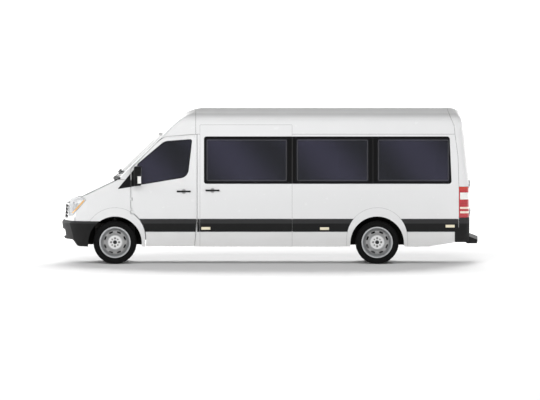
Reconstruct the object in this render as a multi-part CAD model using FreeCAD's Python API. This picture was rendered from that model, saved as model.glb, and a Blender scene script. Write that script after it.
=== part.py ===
"""Long-wheelbase high-roof minibus, right-hand drive, with a kerb-side sliding door.

Units are millimetres.  +X points to the rear, +Y to the right-hand side, +Z up, and the
origin is on the ground under the centre of the vehicle.  Every body panel is cut from
hull(depth), the solid inside the outer skin moved inwards by depth, so a panel is the
space between two hulls inside its own outline.
"""
import FreeCAD
import Part
import math
import os
from FreeCAD import Vector

os.makedirs("parts", exist_ok=True)

# ---------------------------------------------------------------- driving dimensions
HALF_LENGTH = 3430
HALF_WIDTH = 980          # skin at its widest
WIDEST_Z = 800            # height of the widest line
ROOF_TOP = 2544
SILL_Z = 290              # lower edge of the body
GUTTER_Z = 2142           # seam between side wall and roof
FRONT_AXLE_X = -2557
WHEELBASE = 4325
REAR_AXLE_X = FRONT_AXLE_X + WHEELBASE
FLOOR_TOP = 640
FLOOR_THICK = 60

SKIN = 8                  # wings and nose panels
DOOR_SKIN = 18            # outer layer of a door
FLANGE_DEPTH = 30         # a door aperture's flange starts this deep
WALL = 60                 # whole thickness of walls and doors
BONNET_THICK = 20
GROOVE = 5                # seam between fixed panels
GROOVE_DEPTH = 6
DOOR_GAP = 11             # seam round a hinged door
DOOR_SWING_ROOM = 1.5     # more room over the front flare, which the open door passes
DOOR_INSET = 30           # inner box of a door inside its outline
FLANGE_INSET = 15         # aperture flange under a door's edge
FIT = 0.3                 # gap round pins and in seats of moving pieces

# wheels
TYRE_RADIUS = 358
TYRE_WIDTH = 226
WHEEL_INSET = 130         # wheel centre plane inside the widest skin
HALF_TRACK = HALF_WIDTH - WHEEL_INSET
RIM_RADIUS = 258
BARREL_RADIUS = 246
BARREL_THICK = 10
SPINDLE_RADIUS = 30
ARCH_RADIUS = 442
ARCH_TOP = 787
FLARE_RADIUS = 500
FLARE_TOP = 930
FLARE_PROUD = 14
FLARE_CUT_Z = 830         # the front flare's upper end at the door
LINER_THICK = 8
INNER_ARCH_Y = 522        # inboard edge of the front liners

# steering
STEER_DEG = 35
KINGPIN_LOW = (HALF_TRACK - 80, 250)      # |y|, z of the lower ball joint
KINGPIN_HIGH = (HALF_TRACK - 250, 1000)   # |y|, z of the strut mount
STEER_ARM = 140
RACK_Z = 331

# hinge lines
DOOR_SEAM_X = FRONT_AXLE_X + 260
DOOR_HINGE_X = DOOR_SEAM_X + 14
DOOR_HINGE_Y = HALF_WIDTH - 10
DOOR_REAR_X = FRONT_AXLE_X + 1354
REAR_HINGE_X = HALF_LENGTH - 128
REAR_DOOR_Y = 872
REAR_HINGE_Y = REAR_DOOR_Y + 4
BONNET_HINGE = (FRONT_AXLE_X + 57, 638, 1375)
BONNET_PIN = 6

DOOR_HINGE_HEIGHTS = (905, 1075)
DOOR_PIN = 3.5

FAR = 5000

# ---------------------------------------------------------------- drawing helpers
PLANES = {
    "xz": (lambda a, b, c: Vector(a, c, b), Vector(0, 1, 0)),
    "xy": (lambda a, b, c: Vector(a, b, c), Vector(0, 0, 1)),
    "yz": (lambda a, b, c: Vector(c, a, b), Vector(1, 0, 0)),
}


def outline_edges(corners, place):
    """Edges of a closed outline of (a, b, corner radius); place puts (a, b) in space."""
    stops = []
    count = len(corners)
    for i, (a, b, radius) in enumerate(corners):
        corner = Vector(a, b, 0)
        before = Vector(corners[i - 1][0], corners[i - 1][1], 0)
        after = Vector(corners[(i + 1) % count][0], corners[(i + 1) % count][1], 0)
        if radius <= 0:
            stops.append((corner, None, corner))
            continue
        back = (before - corner).normalize()
        ahead = (after - corner).normalize()
        half = back.getAngle(ahead) / 2
        bisector = (back + ahead).normalize()
        reach = radius / math.tan(half)
        middle = corner + bisector * (radius / math.sin(half) - radius)
        stops.append((corner + back * reach, middle, corner + ahead * reach))
    edges = []
    for i in range(count):
        start, middle, end = stops[i]
        following = stops[(i + 1) % count][0]
        if middle is not None:
            edges.append(Part.Arc(place(start), place(middle), place(end)).toShape())
        if (following - end).Length > 1e-6:
            edges.append(Part.LineSegment(place(end), place(following)).toShape())
    return edges


def offset_outline(corners, inwards):
    """The outline moved inwards, its corner radii following."""
    if inwards == 0:
        return corners
    count = len(corners)
    area = sum(corners[i][0] * corners[(i + 1) % count][1]
               - corners[(i + 1) % count][0] * corners[i][1] for i in range(count))
    turn = 1 if area > 0 else -1
    lines = []
    for i in range(count):
        start = Vector(corners[i][0], corners[i][1], 0)
        end = Vector(corners[(i + 1) % count][0], corners[(i + 1) % count][1], 0)
        along = (end - start).normalize()
        lines.append((start + Vector(-along.y, along.x, 0) * turn * inwards, along))
    moved = []
    for i in range(count):
        p, d = lines[i - 1]
        q, e = lines[i]
        cross = d.x * e.y - d.y * e.x
        reach = ((q.x - p.x) * e.y - (q.y - p.y) * e.x) / cross
        corner = p + d * reach
        radius = corners[i][2]
        if radius > 0:
            radius = max(radius - inwards * (1 if cross * turn > 0 else -1), 1)
        moved.append((corner.x, corner.y, radius))
    return moved


def flat(corners, plane, at):
    place = PLANES[plane][0]
    return Part.Face(Part.Wire(outline_edges(corners, lambda p: place(p.x, p.y, at))))


def prism(corners, plane, low, high):
    return flat(corners, plane, low).extrude(PLANES[plane][1] * (high - low))


def box(x0, x1, y0, y1, z0, z1):
    return Part.makeBox(x1 - x0, y1 - y0, z1 - z0, Vector(x0, y0, z0))


def rounded_box(x0, x1, y0, y1, z0, z1, radius):
    block = box(x0, x1, y0, y1, z0, z1)
    return block.makeFillet(radius, block.Edges)


def rod(start, end, radius):
    start = Vector(*start)
    end = Vector(*end)
    return Part.makeCylinder(radius, (end - start).Length, start, end - start)


def tube(start, end, outer, inner):
    return rod(start, end, outer).cut(rod(start, end, inner))


def fuse(pieces):
    whole = pieces[0].multiFuse(pieces[1:]) if len(pieces) > 1 else pieces[0]
    return whole.removeSplitter()


def mirrored(shape):
    return shape.mirror(Vector(0, 0, 0), Vector(0, 1, 0))


def on_both_sides(shape):
    return Part.makeCompound([shape, mirrored(shape)])


def pipe(points, bends, radius):
    """A round bar along straight runs joined by tangent arcs of the given bend radii."""
    stops = [(Vector(*points[0]),) * 3]
    for i in range(1, len(points) - 1):
        corner = Vector(*points[i])
        back = (Vector(*points[i - 1]) - corner).normalize()
        ahead = (Vector(*points[i + 1]) - corner).normalize()
        half = back.getAngle(ahead) / 2
        reach = bends[i - 1] / math.tan(half)
        middle = corner + (back + ahead).normalize() * (bends[i - 1] / math.sin(half) - bends[i - 1])
        stops.append((corner + back * reach, middle, corner + ahead * reach))
    stops.append((Vector(*points[-1]),) * 3)
    edges = []
    for i in range(len(stops) - 1):
        edges.append(Part.LineSegment(stops[i][2], stops[i + 1][0]).toShape())
        if i + 1 < len(stops) - 1:
            start, middle, end = stops[i + 1]
            edges.append(Part.Arc(start, middle, end).toShape())
    path = Part.Wire(edges)
    first = Vector(*points[0])
    circle = Part.Wire(Part.makeCircle(radius, first, Vector(*points[1]) - first))
    return path.makePipeShell([circle], True, False)


def turned(corners, centre, axis="y"):
    """A ring turned about an axis through centre from an outline of (along, radius)."""
    cx, cy, cz = centre
    if axis == "y":
        place = lambda p: Vector(cx + p.y, cy + p.x, cz)
        along = Vector(0, 1, 0)
    else:
        place = lambda p: Vector(cx + p.y, cy, cz + p.x)
        along = Vector(0, 0, 1)
    face = Part.Face(Part.Wire(outline_edges(corners, place)))
    return face.revolve(Vector(cx, cy, cz), along, 360)


# ---------------------------------------------------------------- the outer skin
NOSE_SLOPE_X = HALF_LENGTH - 64       # front of the nose at the bonnet's lip
PLAN_CENTRE_X = 3570                  # centre of the windscreen's and bonnet's plan curve
NOSE_CENTRE_X = -830                  # centre of the nose's tighter plan curve
SCREEN_BASE = (-2562, 1420)
SCREEN_SLOPE = 0.9714
SCREEN_TOP_LINE = (ROOF_TOP - 5 - SCREEN_BASE[1]) / SCREEN_SLOPE + SCREEN_BASE[0]
REAR_SLOPE = -0.106
REAR_KNEE = (3283, 1295)
REAR_TOP_X = REAR_KNEE[0] + REAR_SLOPE * (ROOF_TOP - 3 - REAR_KNEE[1])
ROOF_RISE = 51                        # the side outline peaks above the roof's crown

UNDER_Z = 160                         # the skin's outline closes far below the sills

SIDE_OUTLINE = [
    (-HALF_LENGTH + 4, UNDER_Z, 0),
    (-NOSE_SLOPE_X, 1035, 170),
    (SCREEN_BASE[0], SCREEN_BASE[1], 80),
    (SCREEN_TOP_LINE, ROOF_TOP - 5, 1000),
    (875, ROOF_TOP + ROOF_RISE, 0),
    (REAR_TOP_X, ROOF_TOP - 3, 250),
    (REAR_KNEE[0], REAR_KNEE[1], 900),
    (3288, UNDER_Z, 0),
]
NOSE_OUTLINE = [
    (-HALF_LENGTH + 2, UNDER_Z - 50, 0),
    (-NOSE_SLOPE_X, 1035, 150),
    (-NOSE_SLOPE_X + 3000 - 1035, 3000, 0),
    (NOSE_CENTRE_X, 3000, 0),
    (NOSE_CENTRE_X, UNDER_Z - 50, 0),
]
PLAN_OUTLINE = [
    (-3520, 0, 0),
    (-3250, -HALF_WIDTH - 1, 380),
    (FAR, -HALF_WIDTH - 1, 0),
    (FAR, HALF_WIDTH + 1, 0),
    (-3250, HALF_WIDTH + 1, 380),
]
LOWER_SIDE_RADIUS = 3700
UPPER_SIDE_RADIUS = 8040
CROWN_RADIUS = 4500
ROOF_CORNER_RADIUS = 190
REAR_CORNER = 100
PILLAR_ROUND = 45
SHOULDER_ROUND = 60


def skin_y(z, depth=0):
    """Half-width of the skin at height z below the roof's corner."""
    radius = LOWER_SIDE_RADIUS if z < WIDEST_Z else UPPER_SIDE_RADIUS
    return HALF_WIDTH - radius + math.sqrt((radius - depth) ** 2 - (z - WIDEST_Z) ** 2)


def rear_x(z, depth=0):
    """Rear face at the centre line, for heights above the knee."""
    slant = math.sqrt(1 + REAR_SLOPE ** 2)
    return REAR_KNEE[0] + REAR_SLOPE * (z - REAR_KNEE[1]) - depth * slant


def cross_section(depth):
    """Front-view section: two side arcs, a corner arc and the roof's crown."""
    lower = Vector(HALF_WIDTH - LOWER_SIDE_RADIUS, WIDEST_Z, 0)
    upper = Vector(HALF_WIDTH - UPPER_SIDE_RADIUS, WIDEST_Z, 0)
    crown = Vector(0, ROOF_TOP - CROWN_RADIUS, 0)
    from_upper = UPPER_SIDE_RADIUS - ROOF_CORNER_RADIUS
    from_crown = CROWN_RADIUS - ROOF_CORNER_RADIUS
    span = (crown - upper).Length
    unit = (crown - upper).normalize()
    normal = Vector(-unit.y, unit.x, 0)
    reach = (from_upper ** 2 - from_crown ** 2 + span ** 2) / (2 * span)
    rise = math.sqrt(from_upper ** 2 - reach ** 2)
    corner = upper + unit * reach + normal * rise
    if corner.y < upper.y:
        corner = upper + unit * reach - normal * rise
    side_end = upper + (corner - upper).normalize() * (UPPER_SIDE_RADIUS - depth)
    roof_end = crown + (corner - crown).normalize() * (CROWN_RADIUS - depth)

    def between(centre, start, end):
        radius = (start - centre).Length
        return centre + ((start - centre) + (end - centre)).normalize() * radius

    low_z = UNDER_Z - 60
    drop = math.sqrt((LOWER_SIDE_RADIUS - depth) ** 2 - (WIDEST_Z - low_z) ** 2)
    foot = Vector(lower.x + drop, low_z, 0)
    waist = Vector(HALF_WIDTH - depth, WIDEST_Z, 0)
    arcs = [
        (foot, between(lower, foot, waist), waist),
        (waist, between(upper, waist, side_end), side_end),
        (side_end, between(corner, side_end, roof_end), roof_end),
    ]

    def put(p, side):
        return Vector(-HALF_LENGTH - 200, side * p.x, p.y)

    edges = [Part.LineSegment(put(foot, -1), put(foot, 1)).toShape()]
    edges += [Part.Arc(put(a, 1), put(b, 1), put(c, 1)).toShape() for a, b, c in arcs]
    top = Vector(0, ROOF_TOP - depth, 0)
    edges.append(Part.Arc(put(roof_end, 1), put(top, 1), put(roof_end, -1)).toShape())
    edges += [Part.Arc(put(c, -1), put(b, -1), put(a, -1)).toShape() for a, b, c in reversed(arcs)]
    return Part.Face(Part.Wire(edges))


def edges_between(shape, is_first, is_second):
    owners = {}
    for face in shape.Faces:
        for edge in face.Edges:
            owners.setdefault(edge.hashCode(), []).append((face, edge))
    found = []
    for pairs in owners.values():
        if len(pairs) == 2:
            one, two = pairs[0][0], pairs[1][0]
            if (is_first(one) and is_second(two)) or (is_first(two) and is_second(one)):
                found.append(pairs[0][1])
    return found


def is_side(face):
    surface = face.Surface
    return isinstance(surface, Part.Cylinder) and abs(surface.Axis.x) > 0.9


def is_rear(face):
    return not is_side(face) and face.BoundBox.XMin > REAR_TOP_X - 250


def is_front_slope(face):
    return (not is_side(face) and face.BoundBox.ZMin > 1100
            and face.BoundBox.XMax < -900)


_hulls = {}


def hull(depth):
    """The solid inside the outer skin moved inwards by depth (outwards if negative)."""
    if depth in _hulls:
        return _hulls[depth].copy()
    section = cross_section(depth).extrude(Vector(2 * HALF_LENGTH + 400, 0, 0))
    side = flat(offset_outline(SIDE_OUTLINE, depth), "xz", 0)
    axis = Vector(PLAN_CENTRE_X, 0, 0)
    up = Vector(0, 0, 1)
    front = side.common(flat([(-4000, 100, 0), (0, 100, 0), (0, 3200, 0), (-4000, 3200, 0)], "xz", 0))
    sweep = 24
    front = front.Faces[0].rotated(axis, up, -sweep).revolve(axis, up, 2 * sweep)
    rear = side.common(flat([(-300, 100, 0), (FAR, 100, 0), (FAR, 3200, 0), (-300, 3200, 0)], "xz", 0))
    rear = rear.Faces[0].translated(Vector(0, -1400, 0)).extrude(Vector(0, 2800, 0))
    nose_centre = Vector(NOSE_CENTRE_X, 0, 0)
    nose = offset_outline(NOSE_OUTLINE, depth)
    nose = [(max(-FAR, min(a, NOSE_CENTRE_X)), b, r) for a, b, r in nose]
    nose[-1] = (NOSE_CENTRE_X, nose[-1][1], 0)
    nose[-2] = (NOSE_CENTRE_X, nose[-2][1], 0)
    nose = flat(nose, "xz", 0).rotated(nose_centre, up, -80).revolve(nose_centre, up, 160)
    nose = nose.fuse(box(-1500, 4000, -1400, 1400, UNDER_Z - 100, 3100))
    plan = prism(offset_outline(PLAN_OUTLINE, depth), "xy", 0, 3200)
    solid = section.common(front.fuse(rear)).common(nose).common(plan)
    solid = solid.removeSplitter().Solids[0]
    solid = solid.makeFillet(max(REAR_CORNER - depth, 40), edges_between(solid, is_side, is_rear))
    pillars = edges_between(solid, is_side, is_front_slope)
    solid = solid.makeFillet(max(PILLAR_ROUND - depth, 15), pillars)
    _hulls[depth] = solid
    return solid.copy()


def layer(outer_depth, inner_depth, region):
    """The part of the skin between two depths that lies inside region."""
    return hull(outer_depth).common(region).cut(hull(inner_depth))


def side_region(corners, side=-1, inner=300):
    """A side-view outline as a region of one flank."""
    low, high = sorted((side * inner, side * (HALF_WIDTH + 300)))
    return prism(corners, "xz", low, high)


def all_region(corners):
    return prism(corners, "xz", -HALF_WIDTH - 300, HALF_WIDTH + 300)


# ---------------------------------------------------------------- outlines, side view
SEAM_LOW_X = DOOR_REAR_X - 46
ARCH_Z0 = 100


def arch(axle_x, radius, top, grow=0):
    """A wheel arch: a half-round top on straight sides."""
    return [
        (axle_x - radius - grow, ARCH_Z0, 0),
        (axle_x - radius - grow, top + grow, radius + grow - 0.5),
        (axle_x + radius + grow, top + grow, radius + grow - 0.5),
        (axle_x + radius + grow, ARCH_Z0, 0),
    ]


FRONT_DOOR = [
    (DOOR_SEAM_X, SILL_Z, 0),
    (DOOR_SEAM_X, 1576, 60),
    (FRONT_AXLE_X + 782, 2096, 300),
    (DOOR_REAR_X, GUTTER_Z, 12),
    (DOOR_REAR_X, 720, 200),
    (SEAM_LOW_X, SILL_Z, 0),
]
DOOR_WINDOW = [
    (FRONT_AXLE_X + 372, 1303, 25),
    (FRONT_AXLE_X + 1201, 1439, 150),
    (FRONT_AXLE_X + 1272, 2060, 30),
    (FRONT_AXLE_X + 815, 2026, 180),
    (FRONT_AXLE_X + 372, 1654, 20),
]
SLIDE_DOOR = [
    (FRONT_AXLE_X + 1400, SILL_Z, 0),
    (FRONT_AXLE_X + 1400, 2297, 14),
    (FRONT_AXLE_X + 2923, 2297, 14),
    (FRONT_AXLE_X + 2923, SILL_Z, 0),
]
BODY_REAR_LOW_X = 3051
REAR_SEAM = [(3118, 600), (3118, 1295), (3102, 1775), (3052, GUTTER_Z), (3038, 2280)]
SEAM_TOP_X = 2880

SIDE_WALL = [
    (SEAM_LOW_X, SILL_Z, 0),
    (DOOR_REAR_X, 720, 200),
    (DOOR_REAR_X, GUTTER_Z, 0),
    (REAR_SEAM[3][0], GUTTER_Z, 0),
    (REAR_SEAM[2][0], REAR_SEAM[2][1], 0),
    (REAR_SEAM[1][0], REAR_SEAM[1][1], 0),
    (REAR_SEAM[0][0], REAR_SEAM[0][1], 0),
    (BODY_REAR_LOW_X, 590, 0),
    (BODY_REAR_LOW_X, 360, 0),
    (2597, SILL_Z, 0),
]
ROOF_FRONT_X = -1226
ROOF_PANEL = [
    (ROOF_FRONT_X, GUTTER_Z, 0),
    (REAR_SEAM[3][0], GUTTER_Z, 0),
    (REAR_SEAM[4][0], REAR_SEAM[4][1], 0),
    (SEAM_TOP_X, ROOF_TOP + 100, 0),
    (ROOF_FRONT_X, ROOF_TOP + 100, 0),
]
REAR_REGION = [
    (BODY_REAR_LOW_X, 380, 0),
    (BODY_REAR_LOW_X, 590, 0),
    (REAR_SEAM[0][0], REAR_SEAM[0][1], 0),
    (REAR_SEAM[1][0], REAR_SEAM[1][1], 0),
    (REAR_SEAM[2][0], REAR_SEAM[2][1], 0),
    (REAR_SEAM[3][0], GUTTER_Z, 0),
    (REAR_SEAM[4][0], REAR_SEAM[4][1], 0),
    (SEAM_TOP_X, ROOF_TOP + 100, 0),
    (HALF_LENGTH, ROOF_TOP + 100, 0),
    (HALF_LENGTH, 380, 0),
]
COWL_Z = 1396
CAB_REGION = [
    (-2760, COWL_Z, 0),
    (ROOF_FRONT_X, COWL_Z, 0),
    (ROOF_FRONT_X, ROOF_TOP + 100, 0),
    (-2760, ROOF_TOP + 100, 0),
]
BONNET_REAR_X = -2590
BONNET_REAR_RADIUS = 19300            # plan arc of the bonnet's rear edge
COWL_REAR_RADIUS = PLAN_CENTRE_X + 2540
SHUT_SLOPE = 0.48
SHUT_LOW = (-3334, 1000)
SHUT_HIGH = (-2520, SHUT_LOW[1] + SHUT_SLOPE * (3334 - 2520))
BONNET_SIDE = [
    (-3600, SHUT_LOW[1], 0),
    (SHUT_LOW[0], SHUT_LOW[1], 0),
    (SHUT_HIGH[0], SHUT_HIGH[1], 0),
    (SHUT_HIGH[0], 1600, 0),
    (-3600, 1600, 0),
]
LAMP_INNER_Y = 560
LAMP_SIDE = [
    (-3500, 799, 0),
    (-3264, 799, 0),
    (-3036, 1061, 12),
    (-3077, 1095, 12),
    (-3204, 1112, 0),
    (-3500, 1152, 0),
]
WING_SEAM_X = -3216
BUMPER_TOP_Z = 706
WING_SIDE = [
    (WING_SEAM_X, BUMPER_TOP_Z, 0),
    (DOOR_SEAM_X, BUMPER_TOP_Z, 0),
    (DOOR_SEAM_X, COWL_Z, 0),
    (SHUT_HIGH[0], COWL_Z, 0),
    (SHUT_HIGH[0], SHUT_HIGH[1], 0),
    (SHUT_LOW[0], SHUT_LOW[1], 0),
    (-3600, SHUT_LOW[1], 0),
    (-3600, 860, 0),
    (WING_SEAM_X, 860, 0),
]
TAIL_LAMP = [(3118, 769, 0), (3400, 769, 0), (3400, 1277, 0), (3118, 1277, 0)]
REAR_CORNER_PIECE = [
    (BODY_REAR_LOW_X, 360, 0),
    (3500, 360, 0),
    (3500, 769, 0),
    (REAR_SEAM[0][0], 769, 0),
    (REAR_SEAM[0][0], REAR_SEAM[0][1], 0),
    (BODY_REAR_LOW_X, 590, 0),
]
REAR_CORNER_Y = 905
REAR_DOOR_LOW_Z = 585
REAR_DOOR_TOP_Z = 2262

# glazing, side view: each light's ends along X; the panes cover a wider dark border
WINDOW_LOW = 1366
WINDOW_HIGH = 2061
BAND_LOW = 1327
BAND_HIGH = 2102
SLIDE_LIGHT = (FRONT_AXLE_X + 1504, FRONT_AXLE_X + 2842)
MID_LIGHT = (FRONT_AXLE_X + 2994, FRONT_AXLE_X + 4181)
BACK_LIGHT = (FRONT_AXLE_X + 4332, FRONT_AXLE_X + 5515)
BAND_FRONT = FRONT_AXLE_X + 1470
BAND_SPLIT = (FRONT_AXLE_X + 2923, FRONT_AXLE_X + 4256)
BAND_REAR = FRONT_AXLE_X + 5552
PANE_GAP = 6


def light(span, lean=0):
    """The clear opening behind one pane."""
    return [
        (span[0], WINDOW_LOW, 25),
        (span[1], WINDOW_LOW, 25),
        (span[1] - lean, WINDOW_HIGH, 25),
        (span[0], WINDOW_HIGH, 25),
    ]


def pane_outline(front, rear, front_round, rear_round, lean=0):
    return [
        (front, BAND_LOW, front_round),
        (rear, BAND_LOW, rear_round),
        (rear - lean, BAND_HIGH, rear_round),
        (front, BAND_HIGH, front_round),
    ]


SLIDE_PANE = pane_outline(BAND_FRONT, BAND_SPLIT[0] - PANE_GAP, 40, 3)
MID_PANE = pane_outline(BAND_SPLIT[0] + PANE_GAP, BAND_SPLIT[1] - PANE_GAP / 2, 3, 3)
BACK_PANE = pane_outline(BAND_SPLIT[1] + PANE_GAP / 2, BAND_REAR, 3, 45, 32)

# ---------------------------------------------------------------- nodes are saved here
saved = []


def save(name, shape):
    solids = [s for s in shape.Solids if s.Volume > 50]
    whole = solids[0] if len(solids) == 1 else Part.makeCompound(solids)
    for solid in solids:
        if not solid.isValid():
            print("INVALID", name)
    whole.exportStep(os.path.join("parts", name + ".step"))
    saved.append(name)
    print(name, len(solids), len(whole.Faces), round(whole.Volume / 1e6, 1))


def panel(outline, side_of, thickness=WALL, inner=None):
    """A fixed panel: a skin layer inside its seams and a core out to its joints."""
    skin = layer(0, GROOVE_DEPTH, side_of(offset_outline(outline, GROOVE / 2)))
    core = layer(GROOVE_DEPTH, thickness, side_of(inner or outline))
    return fuse([skin, core])


def half_region(shape, side):
    """What is left of a shape on one side of the centre line."""
    low, high = sorted((0, side * 2000))
    return shape.common(box(-FAR, FAR, low, high, -100, 3300))


def arch_cut(axle_x, radius, grow=0, inner=INNER_ARCH_Y, outer=HALF_WIDTH + 300):
    """A wheel arch through both flanks, from inner to outer."""
    top = ARCH_TOP if radius == ARCH_RADIUS else FLARE_TOP
    corners = arch(axle_x, radius, top, grow)
    return fuse([prism(corners, "xz", inner, outer), prism(corners, "xz", -outer, -inner)])


def flare(axle_x):
    """The raised lip round a wheel arch, on both flanks, stopping short of the door's swing."""
    ring = arch_cut(axle_x, FLARE_RADIUS).cut(arch_cut(axle_x, ARCH_RADIUS, 0, 300))
    ring = ring.cut(box(axle_x - 600, axle_x + 600, -1400, 1400, 0, SILL_Z))
    top = FLARE_CUT_Z - GROOVE / 2 - DOOR_SWING_ROOM
    corner = box(DOOR_SEAM_X - DOOR_GAP / 2, DOOR_REAR_X, -1400, 1400, top, 1000)
    return layer(-FLARE_PROUD, SKIN, ring.cut(corner))


def door_room(region):
    """Room for a hinged door, down to the flange that it closes on."""
    return region.cut(hull(FLANGE_DEPTH))


def front_door_region(grow, side):
    region = side_region(offset_outline(FRONT_DOOR, grow), side, 700)
    room = arch_cut(FRONT_AXLE_X, FLARE_RADIUS, grow + DOOR_GAP / 2, 300)
    return region.cut(room.common(box(-4000, 0, -1400, 1400, 0, FLARE_CUT_Z + grow)))


def rear_door_outline(grow=0):
    corners = [
        (0, REAR_DOOR_LOW_Z, 0),
        (REAR_DOOR_Y, REAR_DOOR_LOW_Z, 30),
        (REAR_DOOR_Y, 1500, 300),
        (REAR_DOOR_Y - 100, REAR_DOOR_TOP_Z, 60),
        (0, REAR_DOOR_TOP_Z, 0),
    ]
    return offset_outline(corners, grow)


def rear_door_region(grow, side, meeting):
    """Right-hand leaf's outline through the rear face; meeting moves its centre edge."""
    region = prism(rear_door_outline(grow), "yz", 2600, 3700)
    region = region.fuse(prism([(0, REAR_DOOR_LOW_Z + grow, 0), (300, REAR_DOOR_LOW_Z + grow, 0),
                                (300, REAR_DOOR_TOP_Z - grow, 0), (0, REAR_DOOR_TOP_Z - grow, 0)],
                               "yz", 2600, 3700))
    region = region.cut(box(2500, 3800, -500, meeting, 0, 3000))
    return region if side > 0 else mirrored(region)


# ---------------------------------------------------------------- fixed body
RAIL_Y = (430, 500)
RAIL_Z = (480, FLOOR_TOP - FLOOR_THICK)
RAIL_X = (-3240, 3240)
BULKHEAD_X = -2408
BULKHEAD_THICK = 12
REAR_LINER_Y = 682
CROSS_MEMBERS = (-1900, -1000, -100, 800, 2350, 3000)
JACK_X = (-1640, 640)                 # jacking pads under the rails
JACK_PAD = 12
CROSS_UNDER_Z = 520                   # underside of the cross members


def floor_pan():
    """Flat floor on two long rails and cross members, notched for the wheel housings."""
    under = FLOOR_TOP - FLOOR_THICK
    front = hull(WALL + 8).common(box(BULKHEAD_X, DOOR_REAR_X, -1000, 1000, under, FLOOR_TOP))
    rear = hull(WALL).common(box(DOOR_REAR_X, 3160, -1000, 1000, under, FLOOR_TOP))
    plate = fuse([front, rear])
    plate = plate.cut(arch_cut(FRONT_AXLE_X, ARCH_RADIUS, LINER_THICK, INNER_ARCH_Y - LINER_THICK))
    plate = plate.cut(arch_cut(REAR_AXLE_X, ARCH_RADIUS, LINER_THICK, REAR_LINER_Y - LINER_THICK))
    pieces = [plate]
    for side in (-1, 1):
        low, high = sorted((side * RAIL_Y[0], side * RAIL_Y[1]))
        pieces.append(box(RAIL_X[0], RAIL_X[1], low, high, RAIL_Z[0], RAIL_Z[1]).common(hull(WALL)))
        for x in JACK_X:
            pieces.append(box(x - 60, x + 60, low + 5, high - 5, RAIL_Z[0] - JACK_PAD, RAIL_Z[0]))
    for x in CROSS_MEMBERS:
        pieces.append(box(x - 40, x + 40, -RAIL_Y[0], RAIL_Y[0], CROSS_UNDER_Z, RAIL_Z[1]))
    for x0, x1 in ((-2040, REAR_AXLE_X - ARCH_RADIUS - 8), (REAR_AXLE_X + ARCH_RADIUS + 8, 2560)):
        sill = hull(WALL + 8).common(box(x0, x1, 790, 1000, 310, RAIL_Z[1]))
        pieces += [sill, mirrored(sill)]
    save("floor_pan", fuse(pieces))


def window_cut(shape, pane, opening, side):
    """Cut a pane's rebate and the clear opening behind it."""
    seat = side_region(offset_outline(pane, -3), side, 600).cut(hull(GROOVE_DEPTH))
    return shape.cut(seat).cut(side_region(opening, side, 500))


def side_wall(side):
    region = side_region(offset_outline(SIDE_WALL, GROOVE / 2), side)
    wall = fuse([layer(0, GROOVE_DEPTH, region), layer(GROOVE_DEPTH, WALL, side_region(SIDE_WALL, side))])
    wall = wall.fuse(half_region(flare(REAR_AXLE_X), side))
    wall = wall.cut(arch_cut(REAR_AXLE_X, ARCH_RADIUS, 0, 300))
    room = door_room(front_door_region(-DOOR_GAP / 2, side))
    flange = layer(FLANGE_DEPTH, WALL, front_door_region(0, side).cut(front_door_region(FLANGE_INSET, side)))
    flange = flange.common(box(DOOR_REAR_X - 60, DOOR_REAR_X + 1, -1400, 1400, 320, GUTTER_Z))
    wall = wall.cut(room).fuse(flange)
    wall = window_cut(wall, MID_PANE, light(MID_LIGHT), side)
    wall = window_cut(wall, BACK_PANE, light(BACK_LIGHT, 30), side)
    if side > 0:
        wall = window_cut(wall, SLIDE_PANE, light(SLIDE_LIGHT), side)
        name = "side_wall_right"
    else:
        wall = wall.cut(side_region(SLIDE_DOOR, side))
        name = "side_wall_left"
    save(name, wall.removeSplitter())


def sliding_door():
    """Fixed here, since it moves out and then back; its top reaches into the roof side."""
    door = panel(SLIDE_DOOR, side_region)
    door = window_cut(door, SLIDE_PANE, light(SLIDE_LIGHT), -1)
    save("sliding_door", door.removeSplitter())


def side_windows():
    panes = []
    for side in (-1, 1):
        for pane in (SLIDE_PANE, MID_PANE, BACK_PANE):
            panes.append(layer(1, GROOVE_DEPTH, side_region(pane, side)))
    save("side_windows", Part.makeCompound(panes))


ROOF_THICK = 45


def roof():
    shell = panel(ROOF_PANEL, all_region, ROOF_THICK)
    room = side_region(SLIDE_DOOR, -1)
    save("roof", shell.cut(room).removeSplitter())


def between_radii(inner, outer, low, high):
    """An upright ring about the centre of the windscreen's plan curve."""
    centre = Vector(PLAN_CENTRE_X, 0, low)
    return Part.makeCylinder(outer, high - low, centre).cut(Part.makeCylinder(inner, high - low, centre))


def behind_bonnet(gap):
    """Everything behind the arc of the bonnet's rear edge."""
    reach = HALF_WIDTH + 120
    middle = BONNET_REAR_X + gap
    side = middle + reach ** 2 / (2 * BONNET_REAR_RADIUS)
    corners = [Vector(side, reach, 900), Vector(-1000, reach, 900), Vector(-1000, -reach, 900),
               Vector(side, -reach, 900)]
    edges = [Part.LineSegment(a, b).toShape() for a, b in zip(corners, corners[1:])]
    edges.append(Part.Arc(corners[-1], Vector(middle, 0, 900), corners[0]).toShape())
    return Part.Face(Part.Wire(edges)).extrude(Vector(0, 0, 1000))


SCREEN_PANE = [(-868, 1436, 60), (868, 1436, 60), (790, 2146, 90), (-790, 2146, 90)]
SCREEN_BORDER = 38


def screen_region(corners):
    return prism(corners, "yz", -2800, -1500)


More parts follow.
